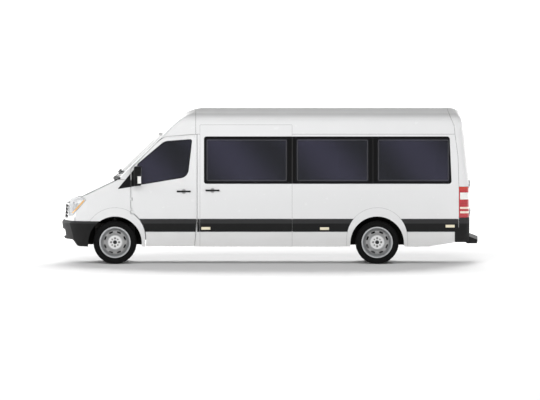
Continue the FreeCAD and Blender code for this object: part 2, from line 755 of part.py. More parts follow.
def cab_frame():
    """Windscreen pillars, forehead, door hinge pillars and bulkhead, as one pressing."""
    wrap = layer(0, GROOVE_DEPTH, all_region(offset_outline(CAB_REGION, GROOVE / 2)))
    shell = fuse([wrap, layer(GROOVE_DEPTH, WALL, all_region(CAB_REGION))])
    shell = shell.cut(between_radii(COWL_REAR_RADIUS, FAR * 2, 1300, 1480))
    shell = shell.cut(screen_region(offset_outline(SCREEN_PANE, -3)).cut(hull(GROOVE_DEPTH)))
    shell = shell.cut(screen_region(offset_outline(SCREEN_PANE, SCREEN_BORDER)))
    for side in (-1, 1):
        shell = shell.cut(hinge_notch(side))
    pieces = [shell]
    for side in (-1, 1):
        pillar = side_region([(-2380, 800, 0), (DOOR_SEAM_X, 800, 0), (DOOR_SEAM_X, COWL_Z + 5, 0),
                              (-2380, COWL_Z + 5, 0)], side)
        pieces.append(layer(SKIN, WALL, pillar))
    frame = fuse(pieces)
    for side in (-1, 1):
        room = door_room(front_door_region(-DOOR_GAP / 2, side))
        inside = front_door_region(FLANGE_INSET, side)
        flange = layer(FLANGE_DEPTH, WALL, front_door_region(0, side).cut(inside))
        flange = flange.common(box(-2400, ROOF_FRONT_X, -1400, 1400, 870, 2300))
        frame = frame.cut(room).cut(inside).fuse(flange)
        frame = frame.cut(box(DOOR_REAR_X - 60, DOOR_REAR_X + 1, -1400, 1400, 300, GUTTER_Z))
    save("cab_frame", frame)


def hinge_notch(side):
    """Room for a bonnet arm to swing up beside its bracket."""
    hx, hy, hz = BONNET_HINGE
    low, high = sorted((side * (hy - 20), side * (hy + 28)))
    return box(-2600, hx + 28, low, high, hz - 75, COWL_Z + 32)


def bulkhead():
    """Wall between engine and cab, with the scuttle shelf and the bonnet's hinge pins."""
    wall = box(BULKHEAD_X - BULKHEAD_THICK, BULKHEAD_X, -1000, 1000, RAIL_Z[1], COWL_Z)
    wall = wall.fuse(box(-2530, BULKHEAD_X, -1000, 1000, COWL_Z - 30, COWL_Z)).removeSplitter()
    wall = wall.cut(arch_cut(FRONT_AXLE_X, ARCH_RADIUS, LINER_THICK, INNER_ARCH_Y - LINER_THICK))
    wall = wall.cut(hinge_notch(-1)).cut(hinge_notch(1)).common(hull(WALL))
    hx, hy, hz = BONNET_HINGE
    for side in (-1, 1):
        low, high = sorted((side * (hy + 12), side * (hy + 22)))
        bracket = box(hx - 14, BULKHEAD_X - 6, low, high, hz - 30, hz + 14)
        wall = wall.fuse(bracket.fuse(rod((hx, side * (hy - 8), hz), (hx, side * (hy + 14), hz), BONNET_PIN)))
    save("bulkhead", wall)


def windscreen():
    """Bonded glass between the pillars."""
    save("windscreen", layer(1, GROOVE_DEPTH, screen_region(SCREEN_PANE)))


def lamp_region(grow):
    corners = offset_outline(LAMP_SIDE, grow)
    inner = LAMP_INNER_Y + grow
    return fuse([prism(corners, "xz", inner, 1300), prism(corners, "xz", -1300, -inner)])


def front_wings():
    region = all_region(offset_outline(WING_SIDE, GROOVE / 2))
    region = region.cut(box(-4000, -2000, -LAMP_INNER_Y, LAMP_INNER_Y, 0, 3000))
    region = region.cut(box(DOOR_SEAM_X - DOOR_GAP / 2, -2000, -1400, 1400, 0, 1600))
    skin = layer(0, SKIN, region)
    bumper_room = box(-4000, FRONT_AXLE_X, -1400, 1400, 0, BUMPER_TOP_Z + GROOVE / 2)
    skin = skin.fuse(flare(FRONT_AXLE_X).cut(bumper_room))
    skin = skin.cut(arch_cut(FRONT_AXLE_X, ARCH_RADIUS, 0, 300)).cut(lamp_region(-GROOVE))
    save("front_wings", skin.removeSplitter())


def bonnet():
    region = all_region(offset_outline(BONNET_SIDE, DOOR_GAP / 2))
    skin = layer(0, BONNET_THICK, region).cut(behind_bonnet(0)).cut(lamp_region(-DOOR_GAP))
    pieces = [skin]
    hx, hy, hz = BONNET_HINGE
    for side in (-1, 1):
        outline = [
            (hx - 16, hz - 16, 15),
            (hx + 16, hz - 16, 15),
            (hx + 16, hz + 14, 14),
            (hx - 60, hz + 14, 20),
            (hx - 110, hz + 40, 0),
            (hx - 170, hz + 40, 0),
            (hx - 170, hz - 60, 10),
        ]
        arm = prism(outline, "xz", side * hy - 6, side * hy + 6)
        arm = arm.common(hull(BONNET_THICK - 4)).cut(rod((hx, side * hy - 20, hz), (hx, side * hy + 20, hz),
                                                         BONNET_PIN + FIT))
        pieces.append(arm)
    save("bonnet", fuse(pieces))


def cowl():
    """Black panel between bonnet and windscreen, with the two wiper blades."""
    region = box(-2700, -2380, -905, 905, 1330, 1480).common(behind_bonnet(11))
    region = region.cut(Part.makeCylinder(COWL_REAR_RADIUS, 400, Vector(PLAN_CENTRE_X, 0, 1200)))
    for side in (-1, 1):
        hinge_y = side * BONNET_HINGE[1]
        region = region.cut(box(-2700, -2400, hinge_y - 13, hinge_y + 13, 1300, 1500))
    strip = layer(4, 20, region)
    blades = []
    for y0, y1 in ((-640, -40), (60, 660)):
        sweep = prism([(y0, 1515, 0), (y1, 1485, 0), (y1, 1503, 0), (y0, 1533, 0)], "yz", -2800, -1500)
        blades.append(layer(-22, 1, sweep).cut(hull(1)))
    save("cowl", Part.makeCompound(strip.Solids + blades))


def headlamps():
    region = lamp_region(0)
    lens = layer(0, 5, region)
    save("headlamp_lenses", lens)
    bowl = layer(5, 70, region).cut(lamp_region(9).cut(hull(58)))
    save("headlamps", bowl)


GRILLE = [(-500, 745, 40), (500, 745, 40), (540, 975, 40), (-540, 975, 40)]


def nose_panel():
    """Body-coloured panel round the grille, between the lamps, wings and bumper."""
    region = all_region([(-3600, BUMPER_TOP_Z + 3, 0), (WING_SEAM_X - 3, BUMPER_TOP_Z + 3, 0),
                         (WING_SEAM_X - 3, SHUT_LOW[1] - 6, 0), (-3600, SHUT_LOW[1] - 6, 0)])
    skin = layer(0, 12, region).cut(lamp_region(-GROOVE))
    skin = skin.cut(prism(GRILLE, "yz", -3700, -3100))
    solids = [s for s in skin.Solids if s.Volume > 20000]
    save("nose_panel", Part.makeCompound(solids))


def grille():
    """Dark insert with openings between its bars."""
    face = prism(offset_outline(GRILLE, 1), "yz", -3700, -3100)
    shell = layer(2, 26, face)
    for z in (765, 820, 875, 930):
        for y in (-350, 0, 350):
            slot = [(y - 155, z, 8), (y + 155, z, 8), (y + 155, z + 38, 8), (y - 155, z + 38, 8)]
            shell = shell.cut(prism(slot, "yz", -3700, -3100))
    save("grille", shell)


TOW_EYE = (350, 607)                  # y, z of the towing eye's threaded socket
TOW_EYE_BORE = 11
TOW_EYE_FACE_X = -3405
TOW_EYE_DEPTH = 70
BUMPER_PROFILE = [
    (-3409, BUMPER_TOP_Z, 8),
    (-3431, 671, 20),
    (-3395, 417, 90),
    (-3340, 296, 40),
    (-3003, 279, 0),
    (NOSE_CENTRE_X, 279, 0),
    (NOSE_CENTRE_X, BUMPER_TOP_Z, 0),
]


def front_bumper():
    """Dark moulding wrapped round the nose to the wheel arches."""
    centre = Vector(NOSE_CENTRE_X, 0, 0)
    sweep = flat(BUMPER_PROFILE, "xz", 0).rotated(centre, Vector(0, 0, 1), -85)
    sweep = sweep.revolve(centre, Vector(0, 0, 1), 170)
    plan = prism(offset_outline(PLAN_OUTLINE, -FLARE_PROUD), "xy", 100, 1000)
    section = cross_section(-FLARE_PROUD).extrude(Vector(2500, 0, 0))
    shape = sweep.common(plan).common(section)
    shape = shape.common(box(-4000, FRONT_AXLE_X, -1400, 1400, 100, 1000)).cut(hull(20))
    shape = shape.cut(arch_cut(FRONT_AXLE_X, ARCH_RADIUS, 0, 300))
    shape = shape.cut(arch_cut(FRONT_AXLE_X, ARCH_RADIUS, LINER_THICK, 300).common(hull(SKIN)))
    intake = [(-420, 430, 30), (420, 430, 30), (420, 560, 30), (-420, 560, 30)]
    shape = shape.cut(prism(intake, "yz", -3700, -3100))
    shape = shape.cut(rod((-3700, *TOW_EYE), (-3100, *TOW_EYE), TOW_EYE_BORE + 14))
    save("front_bumper", shape.removeSplitter())


def front_end():
    """Crash beam, lamp carriers, wing rails and radiator behind the nose."""
    pieces = [hull(20).common(box(-3460, RAIL_X[0], -700, 700, 574, 640)),
              box(-3260, RAIL_X[0], -500, 500, 440, 575)]
    for side in (-1, 1):
        rail = layer(SKIN, 100, side_region([(-3018, 980, 0), (BULKHEAD_X - BULKHEAD_THICK, 980, 0),
                                             (BULKHEAD_X - BULKHEAD_THICK, 1050, 0), (-3018, 1050, 0)], side))
        carrier = layer(70, 100, side_region([(-3340, 880, 0), (-3010, 880, 0), (-3010, 1050, 0),
                                              (-3340, 1050, 0)], side, LAMP_INNER_Y))
        low, high = sorted((side * 480, side * 520))
        post = hull(20).common(box(-3460, -3230, low, high, 600, 700))
        upright = hull(26).common(box(-3330, -3230, low, high, 600, 960))
        low, high = sorted((side * 480, side * LAMP_INNER_Y))
        arm = hull(26).common(box(-3330, -3190, low, high, 900, 960))
        pieces += [rail, carrier, post, upright, arm]
    pieces.append(rounded_box(-3200, -3150, -400, 400, 420, 960, 8))
    pieces.append(box(-3245, -3195, -60, 60, 470, 520))
    pieces.append(rod((TOW_EYE_FACE_X, *TOW_EYE), (-3260, *TOW_EYE), TOW_EYE_BORE + 9))
    socket = rod((TOW_EYE_FACE_X - 10, *TOW_EYE), (TOW_EYE_FACE_X + TOW_EYE_DEPTH, *TOW_EYE), TOW_EYE_BORE)
    save("front_end", fuse(pieces).cut(socket))


def liners():
    """Wheel housings: curved shells closed by an inboard wall."""
    pieces = []
    for side in (-1, 1):
        low, high = sorted((side * INNER_ARCH_Y, side * (HALF_WIDTH + 50)))
        shell = arch_cut(FRONT_AXLE_X, ARCH_RADIUS, LINER_THICK, INNER_ARCH_Y - LINER_THICK)
        shell = shell.cut(arch_cut(FRONT_AXLE_X, ARCH_RADIUS, 0, INNER_ARCH_Y))
        shell = half_region(shell, side).common(hull(SKIN)).common(box(-4000, 0, -1400, 1400, 310, 1000))
        shell = shell.cut(rod((FRONT_AXLE_X, side * KINGPIN_LOW[0], KINGPIN_LOW[1]),
                              (FRONT_AXLE_X, side * KINGPIN_HIGH[0], KINGPIN_HIGH[1]), 75))
        shell = shell.cut(box(FRONT_AXLE_X - 330, FRONT_AXLE_X + 330, -2000, 2000, 0, 660)
                          .common(box(-4000, 0, -600, 600, 0, 700)))
        pieces.append(shell)
        shell = arch_cut(REAR_AXLE_X, ARCH_RADIUS, LINER_THICK, REAR_LINER_Y - LINER_THICK)
        shell = shell.cut(arch_cut(REAR_AXLE_X, ARCH_RADIUS, 0, REAR_LINER_Y))
        shell = half_region(shell, side).common(hull(WALL)).common(box(0, 4000, -1400, 1400, 310, 1000))
        shell = shell.cut(box(REAR_AXLE_X - 90, REAR_AXLE_X + 90, -2000, 2000, 0, 500))
        pieces.append(shell)
    save("wheel_housings", Part.makeCompound(pieces))


def rear_frame():
    """Rear pillars, header and sill round the rear doors."""
    skin = layer(0, GROOVE_DEPTH, all_region(offset_outline(REAR_REGION, GROOVE / 2)))
    frame = fuse([skin, layer(GROOVE_DEPTH, WALL, all_region(REAR_REGION))])
    for side in (-1, 1):
        frame = frame.cut(rear_door_region(-DOOR_GAP / 2, side, -1).cut(hull(FLANGE_DEPTH)))
        frame = frame.cut(rear_door_region(FLANGE_INSET, side, -1))
        lamp = side_region(offset_outline(TAIL_LAMP, -3), side, REAR_CORNER_Y - 3).cut(hull(42))
        corner = side_region(offset_outline(REAR_CORNER_PIECE, -3), side, REAR_CORNER_Y - 3).cut(hull(42))
        frame = frame.cut(lamp).cut(corner)
    save("rear_frame", frame.removeSplitter())


def tail_lamps():
    region = side_region(TAIL_LAMP, 1, REAR_CORNER_Y)
    save("tail_lamps", on_both_sides(layer(0, 42, region)))


def rear_bumper():
    """Dark corner mouldings and a full-width step, carried by the floor rails."""
    region = side_region(offset_outline(REAR_CORNER_PIECE, 2), 1, REAR_CORNER_Y)
    corner = layer(-10, 42, region)
    step = prism([(3190, 386, 20), (3254, 340, 20), (3417, 340, 15), (HALF_LENGTH, 399, 20), (3300, 449, 15),
                  (3190, 449, 0)], "xz", -880, 880)
    pieces = [step.cut(box(3000, 3252, -380, 380, 300, 500))]
    for side in (-1, 1):
        low, high = sorted((side * RAIL_Y[0], side * RAIL_Y[1]))
        pieces.append(box(3160, 3215, low, high, 430, RAIL_Z[0]))
    step = fuse(pieces).cut(layer(0, WALL, all_region(REAR_REGION)))
    save("rear_bumper", Part.makeCompound([step, corner, mirrored(corner)]))


STRIP_Z = (535, 746)
STRIP_PROUD = 9


def strip(x0, x1, side, low=None):
    """Rub strip proud of the skin between two upright edges."""
    corners = [(x0, low or STRIP_Z[0], 12), (x1, STRIP_Z[0], 12), (x1, STRIP_Z[1], 12), (x0, STRIP_Z[1], 12)]
    return layer(-STRIP_PROUD, 0, side_region(corners, side, 700))


def side_strips():
    pieces = []
    for side, spans in ((-1, ((-1154, 363), (370, 3108))), (1, ((-1170, 3108),))):
        for x0, x1 in spans:
            bar = strip(x0, x1, side).cut(arch_cut(REAR_AXLE_X, FLARE_RADIUS, 4, 300))
            bar = bar.cut(side_region(REAR_CORNER_PIECE, side))
            pieces += bar.Solids
    save("side_strips", Part.makeCompound(pieces))


# ---------------------------------------------------------------- hinged doors
def front_door(side):
    name = "left" if side < 0 else "right"
    outer = layer(0, DOOR_SKIN, front_door_region(DOOR_GAP / 2, side))
    inner = layer(DOOR_SKIN, WALL, front_door_region(DOOR_INSET, side))
    door = fuse([outer, inner])
    seat = side_region(offset_outline(DOOR_WINDOW, -3), side, 600).cut(hull(GROOVE_DEPTH))
    door = door.cut(seat).cut(side_region(offset_outline(DOOR_WINDOW, 26), side, 500))
    for z in DOOR_HINGE_HEIGHTS:
        hinge_y = side * DOOR_HINGE_Y
        low, high = sorted((side * (DOOR_HINGE_Y - 14), side * (HALF_WIDTH + 20)))
        door = door.cut(box(DOOR_SEAM_X, DOOR_HINGE_X + 13, low, high, z - 24, z + 24))
        door = door.cut(rod((DOOR_HINGE_X, hinge_y, z - 45), (DOOR_HINGE_X, hinge_y, z + 45), DOOR_PIN + FIT))
    save("front_door_" + name, door.removeSplitter())
    save("front_door_glass_" + name, layer(1, GROOVE_DEPTH, side_region(DOOR_WINDOW, side)))
    bar = strip(FRONT_AXLE_X + 400, DOOR_REAR_X - 8, side)
    bar = bar.cut(arch_cut(FRONT_AXLE_X, FLARE_RADIUS, 8, 300))
    bar = bar.common(front_door_region(DOOR_GAP / 2 + 1, side))
    save("front_door_strip_" + name, bar)


def front_door_hinges():
    """Pins and leaves of both front doors, on the hinge pillars."""
    pieces = []
    for z in DOOR_HINGE_HEIGHTS:
        leaf = box(DOOR_SEAM_X - 14, DOOR_HINGE_X, DOOR_HINGE_Y - 5, DOOR_HINGE_Y + 5, z - 18, z + 18)
        outline = [
            (DOOR_SEAM_X - 30, z - 18, 0),
            (DOOR_SEAM_X - 5.5, z - 18, 0),
            (DOOR_SEAM_X - 5.5, z + 18, 0),
            (DOOR_SEAM_X - 30, z + 18, 0),
        ]
        root = layer(SKIN, WALL, side_region(outline, 1, 700))
        leaf = leaf.cut(hull(SKIN).common(box(-4000, DOOR_SEAM_X - 5.5, 0, 1200, 0, 3000))).cut(root)
        leaf = leaf.common(box(DOOR_SEAM_X - 5.5, DOOR_HINGE_X, 0, 1200, 0, 3000))
        barrel = rod((DOOR_HINGE_X, DOOR_HINGE_Y, z - 18), (DOOR_HINGE_X, DOOR_HINGE_Y, z + 18), 5.5)
        pin = rod((DOOR_HINGE_X, DOOR_HINGE_Y, z - 42), (DOOR_HINGE_X, DOOR_HINGE_Y, z + 42), DOOR_PIN)
        hinge = fuse([leaf, barrel, pin])
        pieces += [hinge, mirrored(hinge)]
    return pieces


REAR_PANE = [(62, 1332, 40), (812, 1332, 40), (744, 2090, 50), (62, 2090, 40)]
REAR_HINGE_HEIGHTS = (830, 1290)
REAR_BORDER = 36


def rear_door(side):
    name = "left" if side < 0 else "right"
    outer = layer(0, DOOR_SKIN, rear_door_region(DOOR_GAP / 2, side, DOOR_GAP / 2))
    inner = layer(DOOR_SKIN, WALL, rear_door_region(DOOR_INSET, side, DOOR_GAP / 2))
    door = fuse([outer, inner])
    seat = prism(offset_outline(REAR_PANE, -3), "yz", 2600, 3700)
    opening = prism(offset_outline(REAR_PANE, REAR_BORDER), "yz", 2600, 3700)
    pane = layer(1, GROOVE_DEPTH, prism(REAR_PANE, "yz", 2600, 3700))
    if side < 0:
        seat, opening, pane = mirrored(seat), mirrored(opening), mirrored(pane)
    door = door.cut(seat.cut(hull(GROOVE_DEPTH))).cut(opening)
    for z in REAR_HINGE_HEIGHTS:
        y = side * REAR_HINGE_Y
        low, high = sorted((y - side * 60, y - side * 7))
        leaf = box(3270, REAR_HINGE_X + 4, low, high, z + 1, z + 34).cut(hull(0))
        low, high = sorted((y - side * 10, y))
        leaf = leaf.fuse(box(REAR_HINGE_X - 9, REAR_HINGE_X + 4, low, high, z + 1, z + 34))
        barrel = rod((REAR_HINGE_X, y, z + 1), (REAR_HINGE_X, y, z + 34), 9)
        bore = rod((REAR_HINGE_X, y, z - 5), (REAR_HINGE_X, y, z + 40), 5 + FIT)
        door = door.fuse(leaf.fuse(barrel).cut(hull(0))).cut(bore)
    save("rear_door_" + name, door.removeSplitter())
    save("rear_door_glass_" + name, pane)


def rear_door_hinges():
    """Pins and leaves of both rear doors, on the rear pillars."""
    pieces = []
    for z in REAR_HINGE_HEIGHTS:
        leaf = box(3240, REAR_HINGE_X + 4, REAR_HINGE_Y, REAR_CORNER_Y - 4, z - 34, z)
        barrel = rod((REAR_HINGE_X, REAR_HINGE_Y, z - 34), (REAR_HINGE_X, REAR_HINGE_Y, z), 9)
        pin = rod((REAR_HINGE_X, REAR_HINGE_Y, z - 34), (REAR_HINGE_X, REAR_HINGE_Y, z + 33), 5)
        hinge = fuse([leaf.fuse(barrel).cut(hull(0)), pin])
        pieces += [hinge, mirrored(hinge)]
    return pieces


# ---------------------------------------------------------------- cab and cabin
WHEEL_CENTRE = (-2010, 430, 1240)
COLUMN_TILT = math.radians(40)
COLUMN_AXIS = (math.cos(COLUMN_TILT), 0, math.sin(COLUMN_TILT))
STEERING_WHEEL_RADIUS = 190
SHAFT_RADIUS = 12


def on_column(distance):
    return tuple(c - a * distance for c, a in zip(WHEEL_CENTRE, COLUMN_AXIS))


def dashboard():
    profile = [
        (BULKHEAD_X, 980, 0),
        (-2230, 980, 60),
        (-2185, 1120, 60),
        (-2205, 1310, 50),
        (BULKHEAD_X, 1345, 0),
    ]
    body = prism(profile, "xz", -900, 900).common(hull(WALL + 14))
    column = tube(on_column(70), on_column(320), 34, SHAFT_RADIUS + FIT)
    body = body.cut(rod(on_column(70), on_column(340), 34)).fuse(column)
    save("dashboard", body.removeSplitter())


def steering_wheel():
    axis = Vector(*COLUMN_AXIS)
    centre = Vector(*WHEEL_CENTRE)
    rim = Part.makeTorus(STEERING_WHEEL_RADIUS, 14, centre, axis)
    hub = Part.makeCylinder(58, 34, centre - axis * 34, axis)
    shaft = Part.makeCylinder(SHAFT_RADIUS, 220, centre - axis * 250, axis)
    across = axis.cross(Vector(0, 1, 0))
    pieces = [rim, hub, shaft]
    for angle in (10, 170, 235, 305):
        a = math.radians(angle)
        along = Vector(0, 1, 0) * math.cos(a) + across * math.sin(a)
        pieces.append(rod(centre - axis * 14 + along * 45, centre + along * STEERING_WHEEL_RADIUS, 10))
    save("steering_wheel", fuse(pieces))


SEAT_HEIGHT = 290
CAB_SEATS = [(-1500, 430, 480), (-1500, -240, 400), (-1500, -650, 400)]
# hip x, centre y, width
ROW_PITCH = 800
SEAT_WIDTH = 430
FIRST_ROW_X = -620


def passenger_places():
    """(x of the hip, y of the centre, width) of every passenger seat."""
    places = []
    for row in range(5):
        x = FIRST_ROW_X + row * ROW_PITCH
        if row == 4:
            places += [(x, y, SEAT_WIDTH - 20) for y in (-640, -213, 213, 640)]
            continue
        places += [(x, 660, SEAT_WIDTH), (x, 222, SEAT_WIDTH)]
        if row >= 2:
            places.append((x, -660, SEAT_WIDTH))
    return places


def seat_cushions(x, y, width, base):
    """Seat, reclined back and headrest as plain soft blocks."""
    half = width / 2 - 6
    cushion = rounded_box(x - 430, x + 10, y - half, y + half, base, base + 100, 30)
    back = rounded_box(x + 18, x + 108, y - half, y + half, base + 20, base + 690, 35)
    back = back.rotated(Vector(x + 18, y, base + 60), Vector(0, 1, 0), 10)
    head = rounded_box(x + 20, x + 100, y - 130, y + 130, base + 700, base + 860, 30)
    head = head.rotated(Vector(x + 18, y, base + 60), Vector(0, 1, 0), 10)
    return [cushion, back, head]


def seat_frame(x, y, width, base, low):
    """Pedestal, side rails and back plate that carry one seat."""
    legs = [box(x - 360, x - 320, y - 150, y + 150, low, base - 30),
            box(x - 90, x - 50, y - 150, y + 150, low, base - 30)]
    pan = box(x - 420, x + 14, y - 180, y + 180, base - 30, base)
    spine = box(x + 108, x + 126, y - 160, y + 160, base - 10, base + 640)
    spine = spine.rotated(Vector(x + 18, y, base + 60), Vector(0, 1, 0), 10)
    spine = spine.fuse(box(x, x + 140, y - 170, y + 170, base - 30, base - 4))
    posts = [rod((x + 60, y + s * 60, base + 600), (x + 60, y + s * 60, base + 730), 6) for s in (-1, 1)]
    posts = [p.rotated(Vector(x + 18, y, base + 60), Vector(0, 1, 0), 10) for p in posts]
    return fuse(legs + [pan, spine]), posts


def seats():
    frames = []
    for name, places in (("cab_seat", CAB_SEATS), ("passenger_seat", passenger_places())):
        soft = []
        for x, y, width in places:
            base = FLOOR_TOP + SEAT_HEIGHT
            parts = seat_cushions(x, y, width, base)
            frame, posts = seat_frame(x, y, width, base, FLOOR_TOP)
            housing = arch_cut(REAR_AXLE_X, ARCH_RADIUS, LINER_THICK + 6, REAR_LINER_Y - LINER_THICK - 6)
            frame = frame.cut(housing)
            for post in posts:
                parts = [p.cut(post) for p in parts]
            frames += [max(frame.Solids, key=lambda s: s.Volume)] + posts
            soft += parts
        save(name + "_cushions", Part.makeCompound(soft))
    save("seat_frames", Part.makeCompound(frames))


# ---------------------------------------------------------------- running gear
def tyre_and_rim(x, side):
    """One wheel, its disc dished from the hub to the barrel."""
    centre = (x, side * HALF_TRACK, TYRE_RADIUS)
    half = TYRE_WIDTH / 2
    lip = half - 12
    tyre = turned([
        (-lip, BARREL_RADIUS, 0),
        (-lip, RIM_RADIUS, 0),
        (-half + 4, 275, 20),
        (-half, 305, 25),
        (-half + 8, TYRE_RADIUS, 26),
        (half - 8, TYRE_RADIUS, 26),
        (half, 305, 25),
        (half - 4, 275, 20),
        (lip, RIM_RADIUS, 0),
        (lip, BARREL_RADIUS, 0),
        (half - 34, BARREL_RADIUS, 0),
        (half - 24, 290, 20),
        (half - 22, TYRE_RADIUS - 18, 12),
        (-half + 22, TYRE_RADIUS - 18, 12),
        (-half + 24, 290, 20),
        (-half + 34, BARREL_RADIUS, 0),
    ], centre)
    inner = BARREL_RADIUS - BARREL_THICK
    barrel = turned([
        (-lip - 6, inner, 0), (-lip - 6, RIM_RADIUS, 3), (-lip, RIM_RADIUS, 3), (-lip, BARREL_RADIUS, 0),
        (lip, BARREL_RADIUS, 0), (lip, RIM_RADIUS, 3), (lip + 6, RIM_RADIUS, 3), (lip + 6, inner, 0),
    ], centre)
    s = side
    disc = turned([
        (s * 20, SPINDLE_RADIUS + FIT, 0), (s * 20, 112, 6), (s * 44, 150, 20), (s * 44, 190, 20),
        (s * 8, inner + 2, 0), (s * 0, inner + 2, 0), (s * 34, 186, 20), (s * 34, 154, 20),
        (s * 10, 118, 6), (s * 10, SPINDLE_RADIUS + FIT, 0),
    ], centre)
    for i in range(8):
        near, far = side * (HALF_TRACK - 60), side * (HALF_TRACK + 90)
        slot = rod((x, near, TYRE_RADIUS + 172), (x, far, TYRE_RADIUS + 172), 14)
        slot = slot.fuse([slot.translated(Vector(-22, 0, 0)), slot.translated(Vector(22, 0, 0)),
                          box(x - 22, x + 22, min(near, far), max(near, far),
                              TYRE_RADIUS + 158, TYRE_RADIUS + 186)])
        disc = disc.cut(slot.rotated(Vector(*centre), Vector(0, 1, 0), 22.5 + 45 * i))
    bore = SPINDLE_RADIUS + FIT
    hub = turned([(-s * 40, bore, 0), (-s * 40, 70, 4), (s * 10, 70, 0), (s * 10, bore, 0)], centre)
    rotor = turned([(-s * 40, 68, 0), (-s * 40, 140, 0), (-s * 20, 140, 0), (-s * 20, 68, 0)], centre)
    return tyre, fuse([barrel, disc, hub, rotor])


WHEELS = [
    ("front_left", FRONT_AXLE_X, -1),
    ("front_right", FRONT_AXLE_X, 1),
    ("rear_left", REAR_AXLE_X, -1),
    ("rear_right", REAR_AXLE_X, 1),
]


def wheels():
    for name, x, side in WHEELS:
        tyre, rim = tyre_and_rim(x, side)
        save("tyre_" + name, tyre)
        save("rim_" + name, rim)


def kingpin_y(z):
    """|y| of the steering axis at height z."""
    (y0, z0), (y1, z1) = KINGPIN_LOW, KINGPIN_HIGH
    return y0 + (y1 - y0) * (z - z0) / (z1 - z0)


def on_kingpin(z, side):
    return (FRONT_AXLE_X, side * kingpin_y(z), z)


BALL_Z = 200
TOWER_Z = 985


def knuckles():
    for name, side in (("left", -1), ("right", 1)):
        upright = rod(on_kingpin(BALL_Z + 16, side), on_kingpin(520, side), 26)
        pin = rod(on_kingpin(BALL_Z - 24, side), on_kingpin(BALL_Z + 20, side), 11)
        spindle = rod((FRONT_AXLE_X, side * kingpin_y(TYRE_RADIUS), TYRE_RADIUS),
                      (FRONT_AXLE_X, side * (HALF_TRACK + 14), TYRE_RADIUS), SPINDLE_RADIUS)
        damper = rod(on_kingpin(500, side), on_kingpin(700, side), 27)
        stem = rod(on_kingpin(690, side), on_kingpin(TOWER_Z + 18, side), 11)
        seat = rod(on_kingpin(690, side), on_kingpin(702, side), 56)
        spring = tube(on_kingpin(702, side), on_kingpin(930, side), 52, 36)
        cap = rod(on_kingpin(930, side), on_kingpin(940, side), 56)
        arm_end = (FRONT_AXLE_X + STEER_ARM, side * (kingpin_y(RACK_Z) - 45), RACK_Z)
        arm = rod(on_kingpin(RACK_Z, side), arm_end, 15)
        save("knuckle_" + name, fuse([upright, pin, spindle, damper, stem, seat, spring, cap, arm]))


def front_suspension():
    """Subframe, lower arms with their ball sockets, strut towers and steering rack."""
    pieces = [box(FRONT_AXLE_X - 130, FRONT_AXLE_X + 240, -400, 400, 250, 300)]
    for side in (-1, 1):
        foot = on_kingpin(BALL_Z, side)
        corners = [(FRONT_AXLE_X - 110, side * 380, 0), (FRONT_AXLE_X - 30, foot[1] + side * 30, 28),
                   (FRONT_AXLE_X + 30, foot[1] + side * 30, 28), (FRONT_AXLE_X + 150, side * 380, 0)]
        arm = prism(corners, "xy", BALL_Z - 12, BALL_Z + 8)
        arm = arm.fuse(box(FRONT_AXLE_X - 110, FRONT_AXLE_X + 150, min(side * 360, side * 400),
                           max(side * 360, side * 400), BALL_Z - 12, 262))
        arm = arm.cut(rod(on_kingpin(BALL_Z - 60, side), on_kingpin(BALL_Z + 60, side), 11 + FIT))
        low, high = sorted((side * (INNER_ARCH_Y - 16), side * (INNER_ARCH_Y - LINER_THICK)))
        wall = box(FRONT_AXLE_X - 110, FRONT_AXLE_X + 110, low, high, 500, TOWER_Z + 16)
        low, high = sorted((side * (INNER_ARCH_Y - 16), side * 690))
        top = box(FRONT_AXLE_X - 110, FRONT_AXLE_X + 110, low, high, TOWER_Z, TOWER_Z + 16)
        top = top.cut(rod(on_kingpin(TOWER_Z - 60, side), on_kingpin(TOWER_Z + 60, side), 11 + FIT))
        hanger = box(FRONT_AXLE_X - 60, FRONT_AXLE_X + 60, min(side * 360, side * RAIL_Y[1]),
                     max(side * 360, side * RAIL_Y[1]), 290, RAIL_Z[0])
        link = box(FRONT_AXLE_X - 100, FRONT_AXLE_X + 100, min(side * RAIL_Y[1], side * (INNER_ARCH_Y - 12)),
                   max(side * RAIL_Y[1], side * (INNER_ARCH_Y - 12)), 505, 560)
        pieces += [arm, wall.fuse(top), hanger, link]
    rack = rod((FRONT_AXLE_X + 190, -330, RACK_Z), (FRONT_AXLE_X + 190, 330, RACK_Z), 32)
    pieces.append(rack)
    save("front_suspension", fuse(pieces))


ENGINE_X = (-3060, -2470)
GEARBOX_Z = 475
GEARBOX_RADIUS = 100
PINION_X = REAR_AXLE_X - 160
PINION_Z = 362
SHAFT_REAR = (PINION_X - 30, PINION_Z)


def engine():
    """Engine as one plain block on its mounts."""
    block = rounded_box(*ENGINE_X, -255, 255, 380, 1080, 25)
    mounts = [box(-2820, -2740, *sorted((side * 250, side * RAIL_Y[0])), 500, 560) for side in (-1, 1)]
    save("engine", fuse([block] + mounts))


def shaft_z(x):
    """Height of the propeller shaft at x."""
    front = CROSS_MEMBERS[0] - 40
    return GEARBOX_Z + (SHAFT_REAR[1] - GEARBOX_Z) * (x - front) / (SHAFT_REAR[0] - front)


